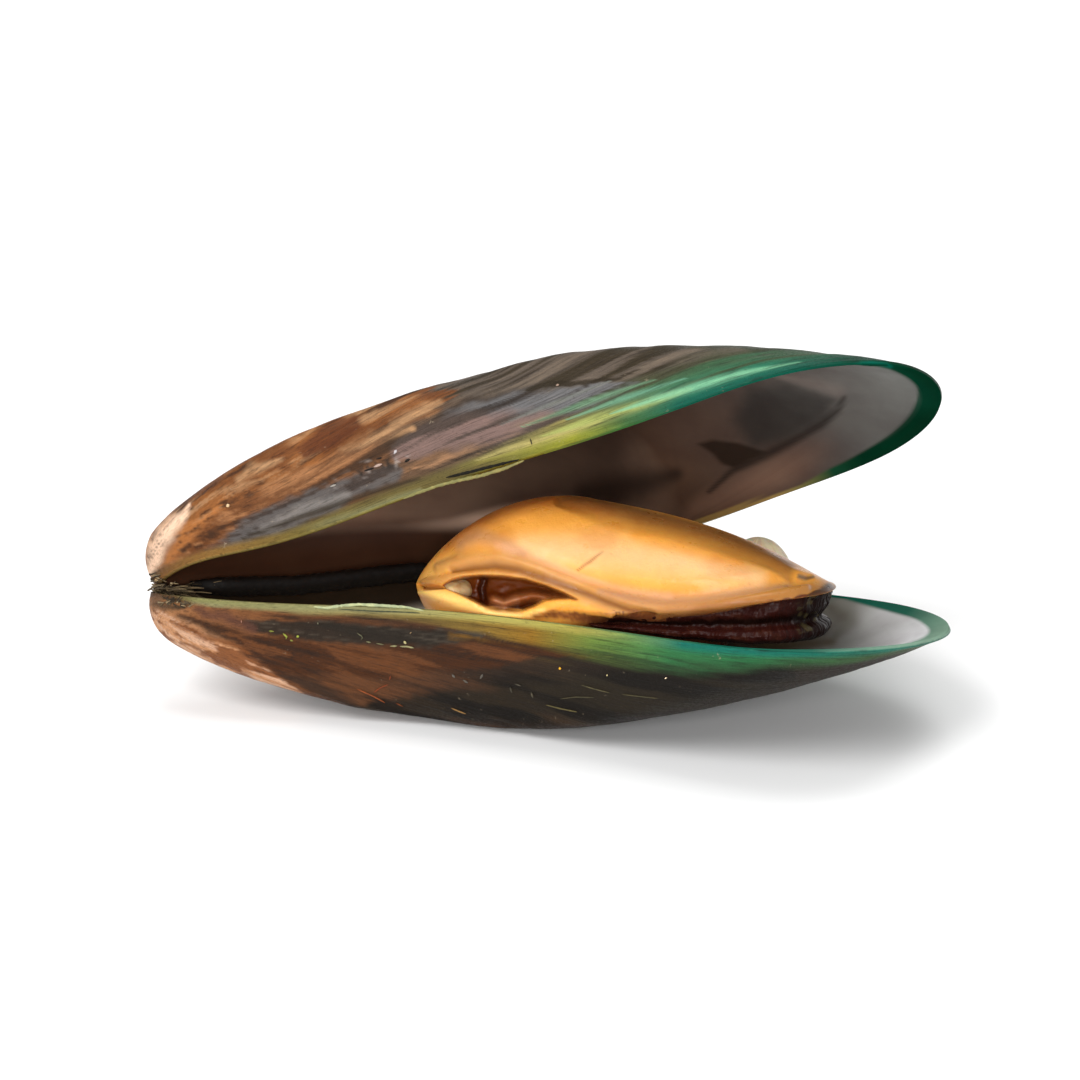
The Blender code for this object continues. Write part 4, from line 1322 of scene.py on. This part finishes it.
def build_fringe():
    """Dark ruffled edge of the mantle: an upper fold, a groove and a lower roll, crinkled along the top."""
    margin = closed_curve(BODY_OUTLINE, 40)
    place = np.linspace(FRINGE_START, FRINGE_STOP, FRINGE_COLUMNS) * 40
    run = np.stack([np.interp(place, np.arange(len(margin)), margin[:, k]) for k in range(2)], axis=-1)
    along = np.gradient(run, axis=0)
    along /= np.linalg.norm(along, axis=1)[:, None]
    outward = np.column_stack([along[:, 1], -along[:, 0]])
    length = np.concatenate([[0], np.cumsum(np.linalg.norm(np.diff(run, axis=0), axis=1))])
    start = ease(length, 0, 9)
    finish = ease(length, length[-1], length[-1] - 5)
    share = np.linspace(0, 1, FRINGE_ROWS)[:, None]
    profile = np.interp(share, [p[0] for p in FRINGE_PROFILE], [p[1] for p in FRINGE_PROFILE])
    profile = profile * np.ones_like(length)
    wander = rough_noise(length / 7, share * 2.2, 300, 3)
    crinkle = rough_noise(length / 1.1, share * 5 + wander, 310, 3)
    pleats = np.sin(length * 1.5 + 3 * wander) * ease(share, 0.6, 0.0)
    threads = rough_noise(length / 0.45 + 1.5 * wander, share * 2.4, 315, 2)
    profile = profile + 0.3 * wander + 0.22 * crinkle + 0.16 * pleats + 0.14 * threads
    profile = profile * start * finish - FRINGE_INSET - 1.4 * (1 - start) - 0.8 * (1 - finish)
    scallop = 0.22 * np.abs(np.sin(length * 1.15 + 1.2 * noise(length / 3, length * 0, 320)))
    top = body_level(run[:, 0]) - FRINGE_TOP_GAP - 0.15 + scallop
    floor = FRINGE_FLOOR + 0.12 * noise(length / 2.5, length * 0, 330) + 1.2 * (1 - start)
    grid = skirt(run, top, floor, outward, profile, FRINGE_THICK)
    local = grid.reshape(-1, 3)
    fringe = add_piece("mantle_frill", moved(LIE, local), closed_tube(grid), "mantle_fringe", "mantle_fringe")
    down = np.concatenate([share, share[::-1]])[:, 0][None] * np.ones((len(run), 1))
    reach = np.broadcast_to(length[:, None], down.shape)
    mottle = rough_noise(reach / 1.6, down * 7, 340, 3)
    colour = lerp(MAROON, FRINGE_BROWN, ease(mottle, -0.1, 0.5))
    # Painted shade: near black along the groove between the upper fold and the lower roll, and darker towards the
    # bottom.
    colour = lerp(colour, FRINGE_BLACK, 0.9 * ease(np.abs(down - 0.48), 0.16, 0.02))
    colour = lerp(colour, FRINGE_BLACK, 0.55 * ease(down, 0.86, 1.0))
    tip = ease(np.broadcast_to(run[:, :1], down.shape), 80.6, 82.6)
    colour = lerp(colour, FRINGE_BLACK, 0.8 * tip)
    colour = lerp(colour, FRINGE_OLIVE, 0.8 * tip * ease(mottle, 0.15, 0.4))
    give(fringe, "tint", colour.reshape(-1, 3))
    fringe.data.materials.append(flesh_material("fringe_flesh", 0.05, 0.35, 0.07))


def ball(size, columns, rows):
    """A stretched ball as rings of points, from its foot to its top."""
    up = np.linspace(-math.pi / 2, math.pi / 2, rows)[1:-1, None]
    turn = np.linspace(0, math.tau, columns, endpoint=False)[None]
    height = np.sin(up) * np.ones_like(turn)
    grid = np.stack([np.cos(up) * np.cos(turn), np.cos(up) * np.sin(turn), height], axis=-1)
    return grid * np.array(size) / 2


def build_muscle():
    """Stump of the closing muscle: a pale, slightly stringy knob on the lower valve."""
    grid = ball((*MUSCLE_SIZE, 2.0), 120, 70)
    up = grid[..., 2].copy()
    reach = np.where(up > 0, MUSCLE_TOP - MUSCLE_MIDDLE, MUSCLE_MIDDLE - MUSCLE_FOOT)
    turn = np.arctan2(grid[..., 1], grid[..., 0])
    swell = 1 + 0.05 * rough_noise(8 + 4 * np.cos(turn), 8 + 4 * np.sin(turn) + up, 400, 3)
    grid[..., :2] *= swell[..., None]
    grid[..., 2] = MUSCLE_MIDDLE + up * reach
    local = grid.reshape(-1, 3) + (*MUSCLE_PLACE, 0.0)
    muscle = add_piece("muscle_stump", moved(LIE, local), closed_tube(grid), "muscle", "adductor_muscle")
    strings = rough_noise(turn * 7, up * 1.2, 410, 3).ravel()
    give(muscle, "tint", lerp(MUSCLE_BEIGE, srgb(214, 184, 138), 0.35 * ease(strings, 0.0, 0.5)))
    muscle.data.materials.append(flesh_material("muscle_flesh", 0.5, 0.1))


def build_foot():
    """Pale tip of the foot, showing in the gape."""
    grid = ball(FOOT_SIZE, 80, 50)
    swell = 1 + 0.06 * rough_noise(6 + grid[..., 0], 6 + grid[..., 1] * 1.3 + grid[..., 2], 420, 3)
    local = (grid * swell[..., None]).reshape(-1, 3) + FOOT_PLACE
    foot = add_piece("foot_tip", moved(LIE, local), closed_tube(grid), "foot", "foot")
    patches = rough_noise(grid[..., 0] * 1.1, grid[..., 1] * 1.1, 430, 3).ravel()
    give(foot, "tint", lerp(FOOT_PALE, srgb(196, 150, 96), 0.7 * ease(patches, 0.0, 0.5)))
    foot.data.materials.append(flesh_material("foot_flesh", 0.4, 0.0))


def build_ligament():
    """The dark band that fills the hinge between both edges."""
    start = np.array(HINGE_START)
    axis = np.array(HINGE_END) - start
    axis = axis / np.linalg.norm(axis)
    inward = np.array([axis[1], -axis[0]])
    share = np.linspace(0, 1, LIGAMENT_RINGS)
    distance = LIGAMENT_RUN[0] + share * (LIGAMENT_RUN[1] - LIGAMENT_RUN[0])
    fade = np.minimum(ease(share, -0.02, 0.1), ease(share, 1.0, 0.9)) ** 0.5
    low, high = LIGAMENT_EDGE_HEIGHTS
    edge_height = np.interp(share, (0, 0.3, 0.62, 1), (low, low, 0.0, high))
    section = list(LIGAMENT_SECTION) + [(inset, -half) for inset, half in reversed(LIGAMENT_SECTION)]
    rings = []
    for k in range(LIGAMENT_RINGS):
        ring = []
        for number, (inset, half) in enumerate(section):
            rough = 1 + 0.12 * noise(distance[k] * 1.7 + 3, number * 0.9 + 3, 440)
            half = half * (0.25 + 0.75 * fade[k]) * rough
            flat = start + axis * distance[k] + inward * (inset * (0.5 + 0.5 * fade[k]))
            ring.append((*flat, edge_height[k] + inset * LIGAMENT_SLOPE + half))
        rings.append(ring)
    grid = np.array(rings)
    points = moved(LIE, grid.reshape(-1, 3))
    ligament = add_piece("ligament_band", points, closed_tube(grid), "ligament", "ligament")
    give(ligament, "tint", np.tile(LIGAMENT_BLACK, (len(points), 1)))
    ligament.data.materials.append(horn_material("ligament_horn"))


def horn_material(name):
    """Dark horny band, striped along its length."""
    made, tree, shader = new_material(name)
    here = place_mm(tree)
    grain = noise_node(tree, here, 1.4, 5.0, 0.65)
    tint = attribute(tree, "tint", "Color")
    lighter = mixed(tree, 1.0, tint, (2.2, 1.9, 1.6), "MULTIPLY")
    colour = mixed(tree, reading(tree, grain, 0.45, 0.75, 0.0, 0.6), tint, lighter)
    tree.links.new(colour, shader.inputs["Base Color"])
    tree.links.new(reading(tree, grain, 0.3, 0.7, 0.5, 0.75), shader.inputs["Roughness"])
    tree.links.new(bump(tree, grain, 0.0002, 0.6), shader.inputs["Normal"])
    shader.inputs["Specular IOR Level"].default_value = 0.15
    return made


def tube(path, radii, sides=7):
    """A tube along a path, as rings of points."""
    path = np.array(path, float)
    along = np.gradient(path, axis=0)
    along /= np.linalg.norm(along, axis=1)[:, None]
    side = np.cross(along, (0.3, 0.2, 1.0))
    side /= np.linalg.norm(side, axis=1)[:, None]
    up = np.cross(side, along)
    turn = np.linspace(0, math.tau, sides, endpoint=False)
    ring = side[:, None] * np.cos(turn)[None, :, None] + up[:, None] * np.sin(turn)[None, :, None]
    return path[:, None] + ring * np.array(radii)[:, None, None]


def joined(pieces):
    """Points, faces and colours of many tubes as one mesh, each tube given as its rings and its colour."""
    points = []
    faces = []
    colours = []
    base = 0
    for grid, colour in pieces:
        faces += [[base + i for i in face] for face in closed_tube(grid)]
        points.append(grid.reshape(-1, 3))
        colours.append(np.tile(colour, (len(points[-1]), 1)))
        base += len(points[-1])
    return np.concatenate(points), faces, np.concatenate(colours)


def build_fibres():
    """Short frayed fibres of the beard, caught between the beaks."""
    rng = np.random.default_rng(7)
    steps = np.linspace(0, 1, FIBRE_STEPS)
    pieces = []
    for _ in range(FIBRES):
        root = np.array([rng.uniform(-0.6, 3.6), rng.uniform(-0.9, 2.0), -1.1 + rng.uniform(-0.3, 0.4)])
        heading = rng.uniform(-0.9, 0.35)
        length = rng.uniform(1.4, 5.4)
        rise = rng.uniform(-0.25, 0.5)
        bow = rng.uniform(-0.6, 0.6)
        run = np.array([math.cos(heading), math.sin(heading), rise])
        path = [root + length * t * run + np.array([0, bow * t * t, -0.5 * t * t]) for t in steps]
        thick = rng.uniform(0.08, 0.22)
        shade = rng.uniform(0, 1) ** 0.5
        pieces.append((tube(path, thick * (1 - 0.6 * steps)), lerp(FIBRE_STRAW, FIBRE_DARK, shade)))
    points, faces, colours = joined(pieces)
    fibres = add_piece("byssus_fibres", moved(LIE, points), faces, "ligament")
    give(fibres, "tint", colours)
    fibres.data.materials.append(horn_material("fibre_horn"))


# Small bits on the outer shell, as picture paths with a half width in picture points and a colour
FLECK_LIFT = 0.06
FUZZ_LIFT = 0.16
LOWER_FLECKS = (
    (((269, 631), (274, 631.5)), 0.9, srgb(104, 110, 48)),
    (((283, 633.5), (287, 637), (286, 639)), 1.1, srgb(122, 130, 54)),
    (((290, 640), (293, 641)), 0.9, srgb(120, 120, 56)),
    (((296.5, 637), (299, 636)), 1.4, srgb(134, 144, 58)),
    (((241, 621.5), (242, 621.5)), 1.4, srgb(150, 108, 90)),
    (((317.6, 623.4), (318.2, 623.4)), 0.9, srgb(140, 138, 112)),
    (((410.5, 632.6), (411, 633)), 1.0, srgb(170, 144, 108)),
    (((357, 633), (363, 637), (361, 640)), 0.7, srgb(84, 82, 62)),
    (((366, 641.6), (371, 642.6)), 0.8, srgb(98, 96, 70)),
    (((376, 643.4), (384, 644.8)), 0.7, srgb(90, 88, 64)),
    (((390, 646.2), (397, 646)), 1.0, srgb(118, 114, 82)),
    (((400, 646.4), (407, 646.6), (414, 648)), 0.9, srgb(126, 122, 88)),
    (((404, 641), (406, 644)), 1.2, srgb(150, 144, 104)),
    (((357, 689), (366, 693), (374, 696.6), (385, 702.8)), 0.7, srgb(124, 64, 32)),
    (((396, 703), (403, 706.6)), 0.5, srgb(108, 56, 28)),
    (((374, 692.5), (380, 688), (388, 684.5)), 0.8, srgb(108, 52, 28)),
    (((389.5, 680), (390.7, 675.6)), 0.7, srgb(110, 52, 28)),
    (((452, 674.5), (455, 677.5)), 1.3, srgb(84, 80, 74)),
    (((463, 680), (468, 683)), 1.2, srgb(76, 72, 66)),
    (((480, 679), (483, 674)), 1.1, srgb(78, 74, 68)),
    (((510, 687), (512, 693)), 0.9, srgb(66, 62, 52)),
    (((515, 684), (521, 686)), 0.8, srgb(70, 66, 56)),
    (((531, 692), (533, 698)), 0.9, srgb(72, 68, 56)),
    (((559, 668.6), (561, 668.2)), 1.3, srgb(226, 166, 44)),
    # Two painted glints: small bright pale specks.
    (((606.6, 675), (607.6, 675.6)), 1.1, srgb(214, 196, 140)),
    (((665.8, 677.6), (666.2, 678.4)), 1.4, srgb(250, 226, 190)),
    (((581, 685), (594, 689), (610, 693)), 0.6, srgb(74, 69, 48)),
    (((622, 694.5), (640, 696.5), (658, 698.6)), 0.5, srgb(68, 64, 45)),
    (((546, 705), (560, 708.6), (577, 712)), 0.8, srgb(84, 76, 47)),
    (((560, 699), (576, 697), (594, 697.6)), 0.6, srgb(62, 58, 42)),
    (((451, 708), (458, 711), (466, 714)), 0.7, srgb(126, 96, 56)),
    (((313, 606.5), (326, 608), (336, 606.6), (359, 604.5), (384, 605.8), (407, 607.4), (424, 611)), 1.7,
     srgb(150, 158, 122)),
    (((338, 609), (352, 610), (369, 611), (396, 611.8), (420, 613)), 0.6, srgb(58, 62, 46)),
)
UPPER_FLECKS = (
    (((227.4, 504), (228.4, 507)), 2.2, srgb(196, 170, 132)),
    (((394, 454), (396.5, 450)), 1.5, srgb(176, 170, 172)),
    (((374, 467), (382, 464)), 1.6, srgb(160, 138, 128)),
    (((330, 487), (336, 484.6)), 1.3, srgb(128, 126, 122)),
    (((404.5, 462), (410, 459)), 1.2, srgb(26, 22, 18)),
    (((364, 471), (374, 468)), 1.0, srgb(24, 20, 18)),
    (((376, 459), (382, 457.6)), 0.9, srgb(30, 24, 20)),
    (((530, 438.6), (531, 441), (532, 445)), 0.7, srgb(46, 44, 26)),
    (((556, 385.6), (559, 384.4)), 1.4, srgb(140, 120, 106)),
    (((403, 498.6), (420, 491.8), (438, 485.4), (460, 480), (482, 475.4), (505, 468.2), (524, 460.4)), 2.0,
     srgb(120, 116, 72)),
    (((446, 477.6), (470, 472), (495, 465.6), (519, 459.6)), 1.5, srgb(16, 14, 8)),
)
BEAK_FUZZ = (((152, 578), (160, 586), (172, 590)), ((160, 600), (172, 602), (188, 604)))
FUZZ_TUFTS = 32


def ahead(px, py, depth):
    """The world point that shows at this place in the picture, this deep in front of the camera."""
    right, up, forward = (np.array(v) for v in (CAMERA_RIGHT, CAMERA_UP, CAMERA_FORWARD))
    ray = forward + right * (px - PICTURE / 2) / FOCAL + up * (PICTURE / 2 - py) / FOCAL
    return EYE + ray * depth


def laid_on(surface, path, lift):
    """A picture path as world points on a visible surface, lifted a little toward the camera."""
    points, px, py = surface
    depth = (points - EYE) @ np.array(CAMERA_FORWARD)
    path = np.array(path, float)
    length = np.concatenate([[0], np.cumsum(np.hypot(*np.diff(path, axis=0).T))])
    place = np.linspace(0, length[-1], max(4, int(length[-1] / 2)))
    found = []
    for x, y in zip(np.interp(place, length, path[:, 0]), np.interp(place, length, path[:, 1])):
        away = np.hypot(px - x, py - y)
        near = np.argsort(away)[:6]
        found.append(ahead(x, y, np.average(depth[near], weights=1 / (0.1 + away[near])) - lift))
    return np.array(found)


def fuzz_tuft(rng, surface, patch):
    """One short hair on a beak, at a random place along its patch."""
    spot = rng.uniform(0, len(patch) - 1)
    x = np.interp(spot, range(len(patch)), [p[0] for p in patch]) + rng.normal(0, 3)
    y = np.interp(spot, range(len(patch)), [p[1] for p in patch]) + rng.normal(0, 2.6)
    heading = rng.uniform(-0.9, 0.5)
    reach = rng.uniform(3, 8)
    path = [(x, y), (x + reach * math.cos(heading), y + reach * math.sin(heading))]
    run = laid_on(surface, path, FUZZ_LIFT)
    shade = rng.uniform(0, 1)
    return tube(run, np.linspace(0.11, 0.04, len(run)), 6), lerp(FIBRE_DARK, FIBRE_STRAW, shade**3)


def build_flecks(surfaces):
    """Specks, two of them painted glints, cracks, scuffs and peeled slivers on the outer shell, and the fuzz by the
    beaks.
    """
    rng = np.random.default_rng(12)
    pieces = []
    for name, flecks in (("lower_valve", LOWER_FLECKS), ("upper_valve", UPPER_FLECKS)):
        for path, half, colour in flecks:
            run = laid_on(surfaces[name], path, FLECK_LIFT)
            share = np.linspace(-1, 1, len(run))
            round_end = 0.25 + 0.75 * np.sqrt(1 - share**4)
            radii = half / PIXELS_PER_MM * round_end * rng.uniform(0.75, 1.15, len(run))
            pieces.append((tube(run, radii, 8), colour))
    for name, patch in zip(("upper_valve", "lower_valve"), BEAK_FUZZ):
        pieces += [fuzz_tuft(rng, surfaces[name], patch) for _ in range(FUZZ_TUFTS)]
    points, faces, colours = joined(pieces)
    flecks = add_piece("shell_flecks", points, faces, "upper_shell")
    give(flecks, "tint", colours)
    flecks.data.materials.append(horn_material("fleck_crust"))


def flesh_material(name, depth, speckle, gloss=0.3):
    """Wet cooked flesh: light goes a little way in, with a glossy skin and a fine uneven surface."""
    made, tree, shader = new_material(name)
    tint = attribute(tree, "tint", "Color")
    here = place_mm(tree)
    cloud = noise_node(tree, here, 0.35, 5.0, 0.6)
    grain = noise_node(tree, here, 2.2, 4.0, 0.6)
    deeper = mixed(tree, 1.0, tint, (0.8, 0.62, 0.45), "MULTIPLY")
    colour = mixed(tree, reading(tree, cloud, 0.42, 0.7, 0.0, 0.22), tint, deeper)
    darker = mixed(tree, 1.0, tint, (0.7, 0.55, 0.45), "MULTIPLY")
    colour = mixed(tree, reading(tree, grain, 0.56, 0.75, 0.0, 0.03 + speckle), colour, darker)
    tree.links.new(colour, shader.inputs["Base Color"])
    tree.links.new(reading(tree, cloud, 0.3, 0.7, 0.24, 0.42), shader.inputs["Roughness"])
    relief = bump(tree, cloud, 0.0003, 0.5)
    tree.links.new(bump(tree, grain, 0.00007, 0.5 + speckle, relief), shader.inputs["Normal"])
    shader.inputs["Subsurface Weight"].default_value = depth
    shader.inputs["Subsurface Radius"].default_value = (1.0, 0.45, 0.15)
    shader.inputs["Subsurface Scale"].default_value = 0.0025
    shader.inputs["Specular IOR Level"].default_value = gloss
    shader.inputs["Coat Weight"].default_value = 0.4 * gloss
    shader.inputs["Coat Roughness"].default_value = 0.3
    return made


def main():
    """Builds the camera, the studio and every piece."""
    make_camera()
    make_studio()
    bpy.context.scene.view_settings.view_transform = "Standard"
    surfaces = {}
    for name, side, place in (("lower_valve", -1, LIE), ("upper_valve", 1, OPEN)):
        valve, surfaces[name] = build_valve(name, side, place)
        dress_valve(valve, name)
    build_body()
    build_fringe()
    build_muscle()
    build_foot()
    build_ligament()
    build_fibres()
    build_flecks(surfaces)


main()
